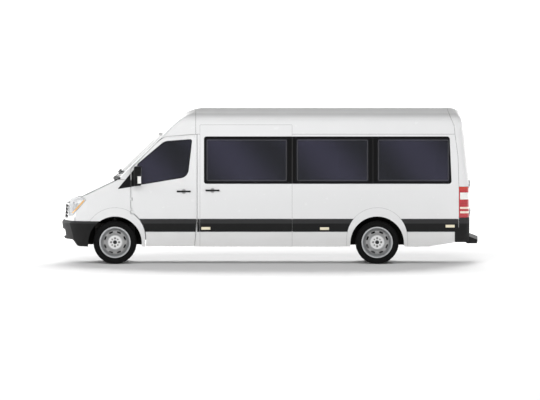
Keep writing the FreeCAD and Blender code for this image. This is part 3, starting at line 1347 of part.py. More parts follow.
def driveline():
    """Gearbox, propeller shaft and its two bearings under the cross members."""
    front = CROSS_MEMBERS[0] - 40
    pieces = [rod((ENGINE_X[1], 0, GEARBOX_Z), (front, 0, GEARBOX_Z), GEARBOX_RADIUS),
              box(front - 60, front + 70, -60, 60, CROSS_UNDER_Z - 20, CROSS_UNDER_Z),
              rod((front - 10, 0, GEARBOX_Z), (SHAFT_REAR[0], 0, SHAFT_REAR[1]), 38),
              rod((SHAFT_REAR[0] - 30, 0, PINION_Z), (PINION_X, 0, PINION_Z), 55)]
    for x in (CROSS_MEMBERS[1], CROSS_MEMBERS[3]):
        z = shaft_z(x)
        pieces += [rod((x - 20, 0, z), (x + 20, 0, z), 55), box(x - 20, x + 20, -45, 45, z, CROSS_UNDER_Z)]
    save("driveline", fuse(pieces))


def exhaust():
    """Front pipe, silencer and tail pipe on hangers below the cross members."""
    silencer = rounded_box(-500, 250, 215, 415, 300, 460, 60)
    front = pipe([(-2300, 330, 400), (-1500, 330, 350), (-480, 315, 370)], [200], 28)
    tail = pipe([(230, 315, 370), (1250, 330, 390), (1500, 330, 450), (2080, 330, 450), (2500, 330, 380),
                 (3080, 330, 380)], [200, 200, 200, 200], 28)
    hangers = [box(x - 10, x + 10, 305, 330, z, CROSS_UNDER_Z)
               for x, z in ((-1000, 380), (-100, 440), (2350, 410), (3000, 400))]
    save("exhaust", fuse([front, silencer, tail] + hangers))


def fuel_tank():
    """Tank hung from a cross member and the left rail."""
    tank = rounded_box(-860, 260, -420, -110, 300, 505, 40)
    pieces = [tank, box(-120, -80, -300, -220, 500, CROSS_UNDER_Z)]
    for x in (-700, 150):
        pieces.append(box(x - 20, x + 20, -RAIL_Y[0] + 2, -405, 400, CROSS_UNDER_Z))
        pieces.append(box(x - 20, x + 20, -RAIL_Y[0], -405, 485, CROSS_UNDER_Z))
    save("fuel_tank", fuse(pieces))


def rear_axle():
    """Live axle on leaf springs, with dampers."""
    beam = rod((REAR_AXLE_X, -735, TYRE_RADIUS), (REAR_AXLE_X, 735, TYRE_RADIUS), 48)
    pieces = [beam, rod((REAR_AXLE_X, -95, TYRE_RADIUS), (REAR_AXLE_X, 95, TYRE_RADIUS), 150),
              rod((PINION_X, 0, PINION_Z), (REAR_AXLE_X, 0, PINION_Z), 80)]
    for side in (-1, 1):
        spindle_end = (REAR_AXLE_X, side * (HALF_TRACK + 14), TYRE_RADIUS)
        spindle = rod((REAR_AXLE_X, side * 720, TYRE_RADIUS), spindle_end, SPINDLE_RADIUS)
        low, high = sorted((side * 545, side * 615))
        outline = [
            (REAR_AXLE_X - 720, 438, 0),
            (REAR_AXLE_X, 262, 2600),
            (REAR_AXLE_X + 720, 438, 0),
            (REAR_AXLE_X + 720, 456, 0),
            (REAR_AXLE_X, 292, 2600),
            (REAR_AXLE_X - 720, 456, 0),
        ]
        leaf = prism(outline, "xz", low, high)
        seat = box(REAR_AXLE_X - 60, REAR_AXLE_X + 60, low, high, 300, 360)
        pieces += [spindle, leaf, seat]
        for x in (REAR_AXLE_X - 700, REAR_AXLE_X + 700):
            eye = rod((x, side * 535, 452), (x, side * 625, 452), 24)
            low2, high2 = sorted((side * RAIL_Y[1], side * 545))
            pieces += [eye, box(x - 30, x + 30, low2, high2, 430, 560)]
        damper_y = side * 470
        pieces.append(rod((REAR_AXLE_X + 40, damper_y, 345), (REAR_AXLE_X + 200, damper_y, 455), 26))
        pieces.append(box(REAR_AXLE_X + 180, REAR_AXLE_X + 225, damper_y - 15, damper_y + 15, 440, RAIL_Z[0]))
    save("rear_axle", fuse(pieces))


def mirror(side):
    """Arm-mounted door mirror with its housing."""
    name = "left" if side < 0 else "right"
    low, high = sorted((side * 1010, side * 1210))
    head = rounded_box(-2247, -2125, low, high, 1300, 1620, 28)
    low, high = sorted((side * 900, side * 1040))
    arms = [rounded_box(-2235, -2165, low, high, 1318, 1362, 15)]
    shape = fuse([head] + arms).cut(hull(0))
    shape = max(shape.Solids, key=lambda s: s.Volume)
    save("mirror_" + name, shape)


# ---------------------------------------------------------------- build
floor_pan()
side_wall(-1)
side_wall(1)
sliding_door()
side_windows()
roof()
cab_frame()
bulkhead()
windscreen()
front_wings()
bonnet()
cowl()
headlamps()
nose_panel()
grille()
front_bumper()
front_end()
liners()
rear_frame()
tail_lamps()
rear_bumper()
side_strips()
save("door_hinges", Part.makeCompound(front_door_hinges() + rear_door_hinges()))
for flank in (-1, 1):
    front_door(flank)
    rear_door(flank)
    mirror(flank)
dashboard()
steering_wheel()
seats()
wheels()
knuckles()
front_suspension()
engine()
driveline()
exhaust()
fuel_tank()
rear_axle()
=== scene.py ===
import math
import bmesh
import bpy
from mathutils import Matrix, Vector


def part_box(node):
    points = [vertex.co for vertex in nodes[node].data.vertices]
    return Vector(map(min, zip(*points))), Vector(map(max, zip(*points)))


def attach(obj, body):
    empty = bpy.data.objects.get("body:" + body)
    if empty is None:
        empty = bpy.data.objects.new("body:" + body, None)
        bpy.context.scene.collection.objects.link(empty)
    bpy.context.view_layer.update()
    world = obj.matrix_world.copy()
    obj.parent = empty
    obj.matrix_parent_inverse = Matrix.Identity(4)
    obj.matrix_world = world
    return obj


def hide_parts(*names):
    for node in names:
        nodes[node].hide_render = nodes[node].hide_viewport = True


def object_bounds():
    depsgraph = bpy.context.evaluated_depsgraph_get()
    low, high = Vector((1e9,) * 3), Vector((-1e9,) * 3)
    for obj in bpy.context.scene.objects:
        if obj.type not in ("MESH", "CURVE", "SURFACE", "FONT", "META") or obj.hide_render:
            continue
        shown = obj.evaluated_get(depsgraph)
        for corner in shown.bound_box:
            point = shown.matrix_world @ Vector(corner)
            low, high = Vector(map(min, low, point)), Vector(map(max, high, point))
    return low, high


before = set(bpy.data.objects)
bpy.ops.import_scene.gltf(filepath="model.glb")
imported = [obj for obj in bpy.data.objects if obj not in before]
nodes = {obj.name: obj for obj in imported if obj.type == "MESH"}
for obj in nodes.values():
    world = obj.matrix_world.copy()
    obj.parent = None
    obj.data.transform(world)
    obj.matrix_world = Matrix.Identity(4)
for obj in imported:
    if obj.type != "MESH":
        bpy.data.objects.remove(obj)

cad_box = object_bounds()


# ---- Body panels ----
# Pressed and welded sheet steel, sprayed white and covered with clear lacquer that has a faint orange peel. Road
# film settles low down on the flanks. Painted shade greys and dulls the top of the roof, and darkens the gaps
# between panels and between the corner trims. The pillars between the side windows carry black film.

class Term:
    """A number that varies over a surface. Sums and products of terms add Math nodes."""

    def __init__(self, finish, socket):
        self.finish, self.socket = finish, socket

    def math(self, operation, *others):
        return self.finish.add("Math", {"operation": operation}, dict(enumerate((self, *others))))

    def __add__(self, other):
        return self.math("ADD", other)

    __radd__ = __add__

    def __mul__(self, other):
        return self.math("MULTIPLY", other)

    __rmul__ = __mul__

    def __sub__(self, other):
        return self.math("SUBTRACT", other)

    def __rsub__(self, other):
        return self * -1 + other

    def __pow__(self, power):
        return self.math("POWER", power)

    def __abs__(self):
        return self.math("ABSOLUTE")

    def least(self, other):
        return self.math("MINIMUM", other)

    def most(self, other):
        return self.math("MAXIMUM", other)

    def wave(self):
        return self.math("SINE")

    def rise(self, low, high):
        """0 below low, 1 above high, and a smooth step between them."""
        return self.finish.add("MapRange", {"interpolation_type": "SMOOTHSTEP"}, {0: self, 1: low, 2: high})


class Finish:
    """A procedural material, or the studio's light: a shader, and what feeds it."""

    def __init__(self, name, kind=bpy.data.materials, shader="Principled BSDF"):
        self.material = kind.new(name)
        self.material.use_nodes = True
        self.nodes = self.material.node_tree.nodes
        self.links = self.material.node_tree.links
        self.shader = self.nodes[shader]
        self.place = self.add("TexCoord", {}, {}, "Object")
        parts = self.add("SeparateXYZ", {}, {0: self.place})
        self.x, self.y, self.z = (Term(self, out) for out in parts.socket.node.outputs)

    def connect(self, node, inputs):
        for key, value in inputs.items():
            socket = node.inputs[key]
            if isinstance(value, Term):
                self.links.new(value.socket, socket)
            elif socket.type == "RGBA" and len(value) == 3:
                socket.default_value = (*value, 1)
            else:
                socket.default_value = value

    def add(self, kind, settings, inputs, output=0):
        """Any node: its settings first, then the values or links of its sockets."""
        node = self.nodes.new("ShaderNode" + kind)
        for key, value in settings.items():
            setattr(node, key, value)
        self.connect(node, inputs)
        return Term(self, node.outputs[output])

    def noise(self, scale, detail=3.0, rough=0.55, place=None):
        return self.add("TexNoise", {}, {"Vector": place or self.place, "Scale": scale, "Detail": detail,
                                         "Roughness": rough})

    def mix(self, factor, first, second):
        return self.add("Mix", {"data_type": "RGBA"}, {0: factor, 6: first, 7: second}, 2)

    def mottled(self, scale, first, second, detail=3.0):
        """Two colours that a noise mixes."""
        return self.mix(self.noise(scale, detail), first, second)

    def bump(self, height, strength, distance):
        return self.add("Bump", {}, {"Height": height, "Strength": strength, "Distance": distance})

    def shine(self, **sockets):
        """Sets or links the shader's sockets; an underscore stands for a space."""
        self.connect(self.shader, {key.replace("_", " "): value for key, value in sockets.items()})

    def cover(self, *names):
        for name in names:
            slots = nodes[name].data.materials
            slots.clear()
            slots.append(self.material)


def between(value, low, high, soft=0.003):
    """1 from low to high and 0 outside them."""
    return value.rise(low - soft, low + soft) * (1 - value.rise(high - soft, high + soft))


SILL_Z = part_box("side_wall_left")[0].z
GROUND_Z = cad_box[0].z
ROOF_Z = cad_box[1].z
DOOR_FRONT_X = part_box("front_door_left")[0].x
ROOF_SHADE_DEPTH = 0.17     # how far the roof's painted shade reaches down its sides
SPLASH_HEIGHT = 0.42   # how far road film reaches above the sill
TRIM_GAP_Z = (1.266, 1.385)   # painted shade in the gap between the two corner trims
WINDOW_LOW, WINDOW_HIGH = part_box("side_windows")
PANE_SPLIT_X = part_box("sliding_door")[1].x
NEXT_SPLIT_X = PANE_SPLIT_X + 1.333

paint = Finish("white_lacquer")
along_flank = paint.add("Mapping", {}, {"Vector": paint.place, "Scale": (0.6, 1.0, 2.2)})
film = paint.noise(3.1, 5.0, 0.65, along_flank)
low = 1 - paint.z.rise(SILL_Z, SILL_Z + SPLASH_HEIGHT)
# painted shade: the roof greys and loses its gloss towards its top
roof_shade = paint.z.rise(ROOF_Z - ROOF_SHADE_DEPTH, ROOF_Z - 0.01)
# painted shade: ambient occlusion darkens the paint in gaps and crevices
seam_shade = 1 - paint.add("AmbientOcclusion", {"samples": 12}, {"Distance": 0.014}, "AO").rise(0.22, 0.88)
beside_pillar = abs(paint.x - PANE_SPLIT_X).least(abs(paint.x - NEXT_SPLIT_X))
pillar = (1 - beside_pillar.rise(0.012, 0.014)) * between(paint.z, WINDOW_LOW.z, WINDOW_HIGH.z, 0.001)
# painted shade in the gap between the two corner trims
corner = (between(paint.x, DOOR_FRONT_X - 0.014, DOOR_FRONT_X + 0.0045, 0.001)
          * between(paint.z, *TRIM_GAP_Z, 0.002))
washed = paint.mix(low * film * 0.5, (0.77, 0.773, 0.777), (0.54, 0.52, 0.49))
roof_shaded = paint.mix(roof_shade, washed, (0.47, 0.47, 0.47))
paint.shine(
    Base_Color=paint.mix((seam_shade * 0.96).most(pillar).most(corner), roof_shaded, (0.01, 0.01, 0.011)),
    Roughness=0.24 + (low * film * 0.3).most(roof_shade * 0.4) + paint.noise(11.0) * 0.05,
    Coat_Weight=(0.75 - low * film * 0.6) * (1 - roof_shade),
    Normal=paint.bump(paint.noise(420.0, 1.0), 0.05, 0.0006),
    Coat_Roughness=0.06,
    Specular_IOR_Level=0.42,
)
paint.cover("side_wall_left", "side_wall_right", "sliding_door", "roof", "cab_frame", "front_wings", "bonnet",
            "nose_panel", "rear_frame", "front_door_left", "front_door_right", "rear_door_left",
            "rear_door_right", "door_hinges")


# ---- Corner trim at the door mirrors ----
# A thin moulded cover of black plastic that fills the corner ahead of the door window. One piece is clipped to
# the wing and the windscreen pillar, the other to the door, and the mirror's foot stands on it.

OUTSIDE_Y = 2.0       # well beside the vehicle
BEYOND_Y = 0.9        # where a plate goes on past the edge of its skins


def seek(names, start, heading):
    """The first point and outward normal that a straight line meets on these nodes."""
    best = None
    for name in names:
        found, point, normal, _ = nodes[name].ray_cast(start, heading)
        if found and (best is None or (point - start).length < (best[0] - start).length):
            best = (point, normal if normal.dot(heading) < 0 else -normal)
    return best


def flank(names, side, x, z):
    """The point and normal of one flank at a place in the side view."""
    return seek(names, Vector((x, side * OUTSIDE_Y, z)), Vector((0, -side, 0)))


def placed(name, data):
    """A new object in the scene."""
    thing = bpy.data.objects.new(name, data)
    bpy.context.scene.collection.objects.link(thing)
    return thing


def finished(name, mesh, finish, body, smooth=35.0):
    """Turns a bmesh into a piece that rides on a body."""
    for face in mesh.faces:
        face.smooth = True
    for edge in mesh.edges:
        edge.smooth = edge.calc_face_angle(0.0) < math.radians(smooth)
    data = bpy.data.meshes.new(name)
    mesh.to_mesh(data)
    mesh.free()
    data.materials.append(finish.material)
    piece = placed(name, data)
    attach(piece, body)
    return piece


def laid(mesh, outline, step, names, side, lift, thick):
    """Adds a plate to the mesh: an outline in the side view, laid on a flank and given a thickness."""
    corners = [Vector((x, 0, z)) for x, z in outline]
    centre = sum(corners, Vector()) / len(corners)
    size = max((corner - centre).length for corner in corners) + step
    plate = bmesh.new()
    cells = math.ceil(2 * size / step)
    bmesh.ops.create_grid(plate, x_segments=cells, y_segments=cells, size=size,
                          matrix=Matrix.Translation(centre) @ Matrix.Rotation(math.pi / 2, 4, "X"))
    for a, b in zip(corners, corners[1:] + corners[:1]):
        outward = (b - a).cross(Vector((0, 1, 0)))
        if outward.dot(a - centre) < 0:
            outward.negate()
        bmesh.ops.bisect_plane(plate, geom=plate.verts[:] + plate.edges[:] + plate.faces[:], dist=1e-5,
                               plane_co=a, plane_no=outward, clear_outer=True)
    for vert in plate.verts:
        hit = flank(names, side, vert.co.x, vert.co.z)
        vert.co = hit[0] + hit[1] * lift if hit else Vector((vert.co.x, side * BEYOND_Y, vert.co.z))
    bmesh.ops.recalc_face_normals(plate, faces=plate.faces)
    if sum(face.normal.y for face in plate.faces) * side < 0:
        bmesh.ops.reverse_faces(plate, faces=plate.faces)
    rim = bmesh.ops.extrude_face_region(plate, geom=plate.faces[:])
    bmesh.ops.translate(plate, vec=(0, -side * thick, 0),
                        verts=[item for item in rim["geom"] if isinstance(item, bmesh.types.BMVert)])
    bmesh.ops.recalc_face_normals(plate, faces=plate.faces)
    whole = bpy.data.meshes.new("laid")
    plate.to_mesh(whole)
    plate.free()
    mesh.from_mesh(whole)
    bpy.data.meshes.remove(whole)


def moulded(finish):
    """The colour, roughness and grain of moulded black plastic."""
    return (finish.mottled(6.0, (0.0035, 0.0035, 0.004), (0.007, 0.007, 0.0075)),
            0.44 + finish.noise(24.0) * 0.16,
            finish.add("TexVoronoi", {}, {"Vector": finish.place, "Scale": 950.0}, "Distance"))


black = Finish("grained_black_plastic")
colour, roughness, grain = moulded(black)
black.shine(Base_Color=colour, Roughness=roughness, Normal=black.bump(grain, 0.25, 0.0004),
            Specular_IOR_Level=0.2)

HANDS = ((-1, "left"), (1, "right"))
PILLAR_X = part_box("front_wings")[0].x + 0.703      # the trim's foremost tip
PANE_FRONT_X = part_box("front_door_glass_left")[0].x
TRIM_LOW = ((PILLAR_X, 1.239), (PANE_FRONT_X + 0.06, 1.304))
TRIM_HIGH = ((PILLAR_X + 0.004, 1.248), (PANE_FRONT_X + 0.006, 1.64))


def on_line(line, x):
    """The point of a line in the side view at a place along the vehicle."""
    (x0, z0), (x1, z1) = line
    return (x, z0 + (z1 - z0) * (x - x0) / (x1 - x0))


for side, hand in HANDS:
    for owner, body, x0, x1, skins in (
        ("pillar", "body", PILLAR_X + 0.004, DOOR_FRONT_X - 0.0125, ("front_wings", "cab_frame")),
        ("door", "front_door_" + hand, DOOR_FRONT_X + 0.004, PANE_FRONT_X + 0.004, ("front_door_" + hand,)),
    ):
        mesh = bmesh.new()
        laid(mesh, [on_line(TRIM_LOW, x0), on_line(TRIM_LOW, x1), on_line(TRIM_HIGH, x1), on_line(TRIM_HIGH, x0)],
             0.02, skins, side, 0.003, 0.004)
        finished(f"{owner}_corner_trim_{hand}", mesh, black, body)


# ---- Side windows ----
# Tinted toughened glass bonded flush to the body. A black ceramic border is fired on round each clear area, with
# a painted highlight as a paler line inside it, and slow slanting bands of painted sheen run across the panes.

LIGHT_LOW_Z = WINDOW_LOW.z + 0.039
LIGHT_HIGH_Z = WINDOW_HIGH.z - 0.041
LIGHTS = [(WINDOW_LOW.x + start, WINDOW_LOW.x + end)
          for start, end in ((0.034, 1.372), (1.524, 2.711), (2.862, 4.045))]
LIGHT_CORNER = 0.03
PRINT_BLACK = (0.0035, 0.0035, 0.004)
SHEEN_LEAN = 0.8
SHEEN_WIDTH = 1.584
SHEEN_CREST_X = 0.745


def from_light(finish, start, end):
    """Distance to the outline of a clear area in the side view; negative inside."""
    across = abs(finish.x - (start + end) / 2) - (end - start) / 2 + LIGHT_CORNER
    up = abs(finish.z - (LIGHT_LOW_Z + LIGHT_HIGH_Z) / 2) - (LIGHT_HIGH_Z - LIGHT_LOW_Z) / 2 + LIGHT_CORNER
    outside = (across.most(0) ** 2 + up.most(0) ** 2) ** 0.5
    return outside + across.most(up).least(0) - LIGHT_CORNER


def tinted(finish, border=0):
    """Sets the gloss of dark glass, whose print is where border is 1, and returns its colour with painted sheen
    bands.
    """
    finish.shine(
        Roughness=0.05 + border * 0.22 + finish.noise(30.0) * 0.02,
        Coat_Weight=(1 - border) * 0.35,
        Alpha=0.9 + border * 0.1,
        Specular_IOR_Level=0.12,
        Coat_Roughness=0.03,
        Normal=finish.bump(finish.noise(5.0, 1.0), 0.04, 0.002),
    )
    # painted reflection: slow slanting bands of sheen in the tint
    sheen_slant = (finish.x + finish.z * SHEEN_LEAN - SHEEN_CREST_X) * (2 * math.pi / SHEEN_WIDTH) + math.pi / 2
    return finish.mix(sheen_slant.wave() * 0.5 + 0.5, (0.0105, 0.0115, 0.017), (0.032, 0.031, 0.054))


glass = Finish("tinted_glass")
first, second, third = (from_light(glass, *light) for light in LIGHTS)
edge = first.least(second).least(third)
border = edge.rise(-0.003, 0.002)
# painted highlight: a paler line just inside the printed border
pale_line_highlight = (1 - abs(edge + 0.016).rise(0.005, 0.011)) * (1 - border)
printed = glass.mix(border, tinted(glass, border), PRINT_BLACK)
glass.shine(Base_Color=glass.mix(pale_line_highlight * 0.8, printed, (0.06, 0.06, 0.064)))
glass.cover("side_windows")


# ---- Windscreen ----
# Clear laminated glass with a green cast, darker along its top, bonded into the frame between the pillars. A
# black printed border hides its adhesive.

FACING = 0.75     # a pane's own thin edges lean further than this from its outward side


def copied(name):
    """A CAD node's mesh, with its triangles joined."""
    mesh = bmesh.new()
    mesh.from_mesh(nodes[name].data)
    bmesh.ops.remove_doubles(mesh, verts=mesh.verts, dist=1e-5)
    return mesh


def rim_of(name, outward, width, lift):
    """A narrow band round a pane: its outer faces, inset and raised off the glass."""
    mesh = copied(name)
    back = [face for face in mesh.faces if face.normal.dot(outward) < FACING]
    bmesh.ops.delete(mesh, geom=back, context="FACES")
    band = bmesh.ops.inset_region(mesh, faces=mesh.faces[:], thickness=width, use_boundary=True,
                                  use_even_offset=True)
    kept = set(band["faces"])
    bmesh.ops.delete(mesh, geom=[face for face in mesh.faces if face not in kept], context="FACES")
    for vert in mesh.verts:
        vert.co += outward * lift
    return mesh


def speckled(name, colours, rough, grain=None, **sockets):
    """An uneven finish, from its colours (scale, first, second), its roughness (least, added, scale) and its
    grain (strength, depth, scale)."""
    finish = Finish(name)
    if grain:
        sockets["Normal"] = finish.bump(finish.noise(*grain[2:]), *grain[:2])
    least, added, *scale = rough
    finish.shine(Base_Color=finish.mottled(*colours), Roughness=least + finish.noise(*scale) * added, **sockets)
    return finish


screen = Finish("windscreen_glass")
screen.shine(
    Base_Color=screen.mottled(2.0, (0.06, 0.085, 0.078), (0.08, 0.105, 0.098)),
    Roughness=0.03 + screen.noise(60.0) * 0.02,
    Alpha=0.36 + screen.z.rise(1.98, 2.12) * 0.3,
    Coat_Weight=0.3,
)
screen.cover("windscreen")

ceramic = speckled("ceramic_print", (90.0, (0.004, 0.004, 0.004), (0.008, 0.008, 0.009)), (0.3, 0.08, 40.0),
                   Specular_IOR_Level=0.25)
finished("windscreen_border", rim_of("windscreen", Vector((-0.7, 0, 0.71)), 0.04, 0.0006), ceramic, "body")


# ---- Door windows ----
# Dark drop glass in the front doors, running in black rubber channels, and bonded panes with a printed border
# in the rear doors. Each rubber or border is a narrow band round its pane.

drop_glass = Finish("door_glass")
# the drop glass carries the same painted sheen bands as the side windows
drop_glass.shine(Base_Color=tinted(drop_glass))
drop_glass.cover("front_door_glass_left", "front_door_glass_right", "rear_door_glass_left",
                 "rear_door_glass_right")

rubber = speckled("window_rubber", (35.0, (0.0045, 0.0045, 0.005), (0.01, 0.01, 0.01)), (0.62, 0.12, 80.0),
                  (0.12, 0.0003, 700.0, 1.0), Specular_IOR_Level=0.3)
for side, hand in HANDS:
    channel = rim_of("front_door_glass_" + hand, Vector((0, side, 0)), 0.011, 0.0012)
    finished("front_door_window_rubber_" + hand, channel, rubber, "front_door_" + hand)
    print_band = rim_of("rear_door_glass_" + hand, Vector((1, 0, 0)), 0.036, 0.0006)
    finished("rear_door_window_border_" + hand, print_band, ceramic, "rear_door_" + hand)


# ---- Door handles ----
# A black moulded bar on two feet over a shallow cup, on the front doors and the sliding door. The cup is painted
# with the door, and the shade under the bar is painted into its colour, darkest in the middle.

HANDLE_LENGTH = 0.231
HANDLE_DEEP = 0.026
HANDLE_HIGH = 0.027
FOOT_SIZE = (0.03, HANDLE_DEEP, 0.02)
FOOT_X = HANDLE_LENGTH / 2 - 0.026
FOOT_Y = HANDLE_DEEP / 2 - 0.002
CUP_WIDTH = 0.104
CUP_HEIGHT = 0.112
CUP_RINGS = ((1.0, 0.0002), (0.94, 0.0026), (0.86, 0.002), (0.6, 0.0012), (0.25, 0.0008))   # share, lift
SHADE_X, SHADE_Z = 21.0, 19.0   # 1 / (half width, half height) of the bar's shade


def seated(point, normal, up=Vector((0, 0, 1))):
    """A frame on a surface: X along it, Y out of it and Z up it."""
    out = normal.normalized()
    along = up.cross(out).normalized()
    return Matrix.Translation(point) @ Matrix((along, out, along.cross(out))).transposed().to_4x4()


def bar_handle(mesh, place):
    """A rounded bar that stands on two feet."""
    bar = bmesh.ops.create_cube(mesh, size=1.0)["verts"]
    bmesh.ops.scale(mesh, vec=(HANDLE_LENGTH, HANDLE_DEEP * 0.62, HANDLE_HIGH), verts=bar)
    bmesh.ops.translate(mesh, vec=(0, HANDLE_DEEP, 0), verts=bar)
    for end in (-1, 1):
        foot = bmesh.ops.create_cube(mesh, size=1.0)["verts"]
        bmesh.ops.scale(mesh, vec=FOOT_SIZE, verts=foot)
        bmesh.ops.translate(mesh, vec=(end * FOOT_X, FOOT_Y, 0), verts=foot)
    bmesh.ops.bevel(mesh, geom=mesh.edges[:], offset=0.0065, offset_type="OFFSET", segments=3, profile=0.5,
                    affect="EDGES", material=-1, clamp_overlap=True)
    bmesh.ops.transform(mesh, matrix=place, verts=mesh.verts)


def dished(mesh, place):
    """A shallow oval cup with a rolled rim, standing a hair proud of the panel."""
    centre = bmesh.ops.create_circle(mesh, cap_ends=True, cap_tris=False, segments=48, radius=1.0,
                                     matrix=Matrix.Rotation(-math.pi / 2, 4, "X"))["verts"]
    bmesh.ops.translate(mesh, vec=(0, CUP_RINGS[0][1], 0), verts=centre)
    face = mesh.faces[:]
    for (outer, _), (inner, lift) in zip(CUP_RINGS, CUP_RINGS[1:]):
        bmesh.ops.inset_region(mesh, faces=face, thickness=outer - inner, use_boundary=True)
        for vert in face[0].verts:
            vert.co.y = lift
    bmesh.ops.scale(mesh, vec=(CUP_WIDTH / 2, 1, CUP_HEIGHT / 2), verts=mesh.verts)
    bmesh.ops.recalc_face_normals(mesh, faces=mesh.faces)
    if sum(item.normal.y for item in mesh.faces) < 0:
        bmesh.ops.reverse_faces(mesh, faces=mesh.faces)
    bmesh.ops.transform(mesh, matrix=place, verts=mesh.verts)


handle_black = speckled("handle_black", (14.0, (0.008, 0.008, 0.008), (0.014, 0.014, 0.015)),
                        (0.36, 0.1, 50.0), (0.1, 0.0003, 520.0, 2.0), Specular_IOR_Level=0.35)
SLIDING_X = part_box("sliding_door")[0].x
FRONT_REAR_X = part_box("front_door_left")[1].x
for name, side, x, z, skin, body in (
    ("front_door_handle_left", -1, FRONT_REAR_X - 0.2145, 1.2, "front_door_left", "front_door_left"),
    ("front_door_handle_right", 1, FRONT_REAR_X - 0.2145, 1.2, "front_door_right", "front_door_right"),
    ("sliding_door_handle", -1, SLIDING_X + 0.209, 1.216, "sliding_door", "body"),
):
    place = seated(*flank([skin], side, x, z))
    shade = Finish(name + "_cup")
    # painted shade: the cup darkens towards the middle, under the bar
    reach = ((shade.x - x) * SHADE_X) ** 2 + ((shade.z - z) * SHADE_Z) ** 2
    shade.shine(
        Base_Color=shade.mix(reach.rise(0.05, 1.05), (0.26, 0.26, 0.265), (0.76, 0.765, 0.77)),
        Roughness=0.34 + shade.noise(90.0) * 0.05,
        Coat_Weight=0.5,
    )
    mesh = bmesh.new()
    dished(mesh, place)
    finished(name + "_cup", mesh, shade, body)
    mesh = bmesh.new()
    bar_handle(mesh, place)
    finished(name, mesh, handle_black, body)


# ---- Bumpers and rub strips ----
# Coarse-grained dark grey polypropylene, moulded in colour and clipped on: the bumpers, the strips along the
# flanks and the panel below the windscreen. A paler band along the strips' upper faces is a painted highlight.
# Stone dust dulls the parts near the road.

plastic = Finish("grained_grey_plastic")
pebbles = plastic.add("TexVoronoi", {}, {"Vector": plastic.place, "Scale": 620.0}, "Distance")
dust = (1 - plastic.z.rise(0.28, 0.62)) * plastic.noise(5.0, 5.0, 0.7)
# painted highlight: a paler band along the upper faces of the strips and bumpers
band = plastic.z.rise(0.668, 0.674) * (1 - plastic.z.rise(0.8, 0.82))
grey = plastic.mix(band * 0.85 + plastic.noise(3.0) * 0.1, (0.0085, 0.0085, 0.0088), (0.036, 0.036, 0.037))
plastic.shine(
    Base_Color=plastic.mix(dust * 0.14, grey, (0.06, 0.057, 0.052)),
    Roughness=0.54 + plastic.noise(20.0) * 0.14,
    Normal=plastic.bump(pebbles, 0.3, 0.0005),
    Specular_IOR_Level=0.24,
)
plastic.cover("front_bumper", "rear_bumper", "side_strips", "front_door_strip_left", "front_door_strip_right",
              "cowl")


def soft_block(mesh, place, size, rounding):
    """A block with rounded edges, centred on a place."""
    block = bmesh.ops.create_cube(mesh, size=1.0)["verts"]
    bmesh.ops.scale(mesh, vec=size, verts=block)
    edges = list({edge for vert in block for edge in vert.link_edges})
    faces = list({face for vert in block for face in vert.link_faces})
    made = bmesh.ops.bevel(mesh, geom=edges, offset=rounding, offset_type="OFFSET", segments=3, profile=0.5,
                           affect="EDGES", material=-1, clamp_overlap=True)
    faces = set(made["faces"]) | {face for face in faces if face.is_valid}
    bmesh.ops.transform(mesh, matrix=place, verts=list({vert for face in faces for vert in face.verts}))


STRIP_LOW_Z, STRIP_HIGH_Z = (corner.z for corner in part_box("front_door_strip_left"))
PILLAR_STRIP_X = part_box("front_door_left")[1].x + 0.008
for side, hand, rear_x in ((-1, "left", SLIDING_X - 0.006), (1, "right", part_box("side_strips")[0].x - 0.002)):
    strip = bmesh.new()
    outline = [(PILLAR_STRIP_X, STRIP_LOW_Z), (rear_x, STRIP_LOW_Z), (rear_x, STRIP_HIGH_Z),
               (PILLAR_STRIP_X, STRIP_HIGH_Z)]
    laid(strip, outline, 0.012, ("side_wall_" + hand,), side, 0.0085, 0.009)
    finished("pillar_strip_" + hand, strip, plastic, "body")


# ---- Side marker lamps ----
# Small lamps set in the rub strips, with a cream moulded lens over a black tray. Fine ribs inside the lens
# spread the light.

MARKER_SIZE = (0.15, 0.012, 0.046)
MARKERS = [(SLIDING_X + 0.098, 0.591), (SLIDING_X + 2.056, 0.587), (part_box("side_strips")[1].x - 0.136, 0.628)]

cream = Finish("marker_lens")
ribs = (cream.x * 900.0).wave()
cream.shine(
    Base_Color=cream.mottled(60.0, (0.82, 0.74, 0.52), (0.9, 0.84, 0.66), 2.0),
    Roughness=0.14 + cream.noise(120.0) * 0.06,
    Coat_Weight=0.6,
    Normal=cream.bump(ribs, 0.25, 0.0006),
)
for side, hand in HANDS:
    lenses, trays = bmesh.new(), bmesh.new()
    for x, z in MARKERS:
        spot = flank(("side_strips", "rear_bumper"), side, x, z) or flank(("side_wall_" + hand,), side, x, z)
        place = seated(*spot)
        soft_block(lenses, place @ Matrix.Translation((0, 0.003, 0)), MARKER_SIZE, 0.005)
        soft_block(trays, place, (MARKER_SIZE[0] + 0.016, 0.008, MARKER_SIZE[2] + 0.014), 0.003)
    finished("marker_lenses_" + hand, lenses, cream, "body")
    finished("marker_trays_" + hand, trays, black, "body")


# ---- Door mirrors ----
# A grained black housing on a short arm at the foot of the window. It holds a flat mirror and a small curved one
# below it, facing rearward, and a white lamp flush in its outer side.

LAMP_LONG, LAMP_TALL = 0.057, 0.121
MIRROR_PLATES = ((0.212, 0.19), (0.062, 0.078))   # middle above the housing's foot, height
low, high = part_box("mirror_left")
lamp_x, lamp_z, lamp_y = high.x - 0.0325, low.z + 0.098, abs(low.y) - 0.03

housing = Finish("mirror_housing")
lens = (between(housing.x, lamp_x - LAMP_LONG / 2, lamp_x + LAMP_LONG / 2, 0.0005)
        * between(housing.z, lamp_z - LAMP_TALL / 2, lamp_z + LAMP_TALL / 2, 0.0005)
        * abs(housing.y).rise(lamp_y, lamp_y + 0.001))
colour, roughness, grain = moulded(housing)
housing.shine(
    Base_Color=housing.mix(lens, colour, (0.78, 0.77, 0.74)),
    Roughness=roughness * (1 - lens) + lens * 0.15,
    Normal=housing.bump(grain * (1 - lens), 0.25, 0.0004),
    Specular_IOR_Level=0.2,
)
housing.cover("mirror_left", "mirror_right")

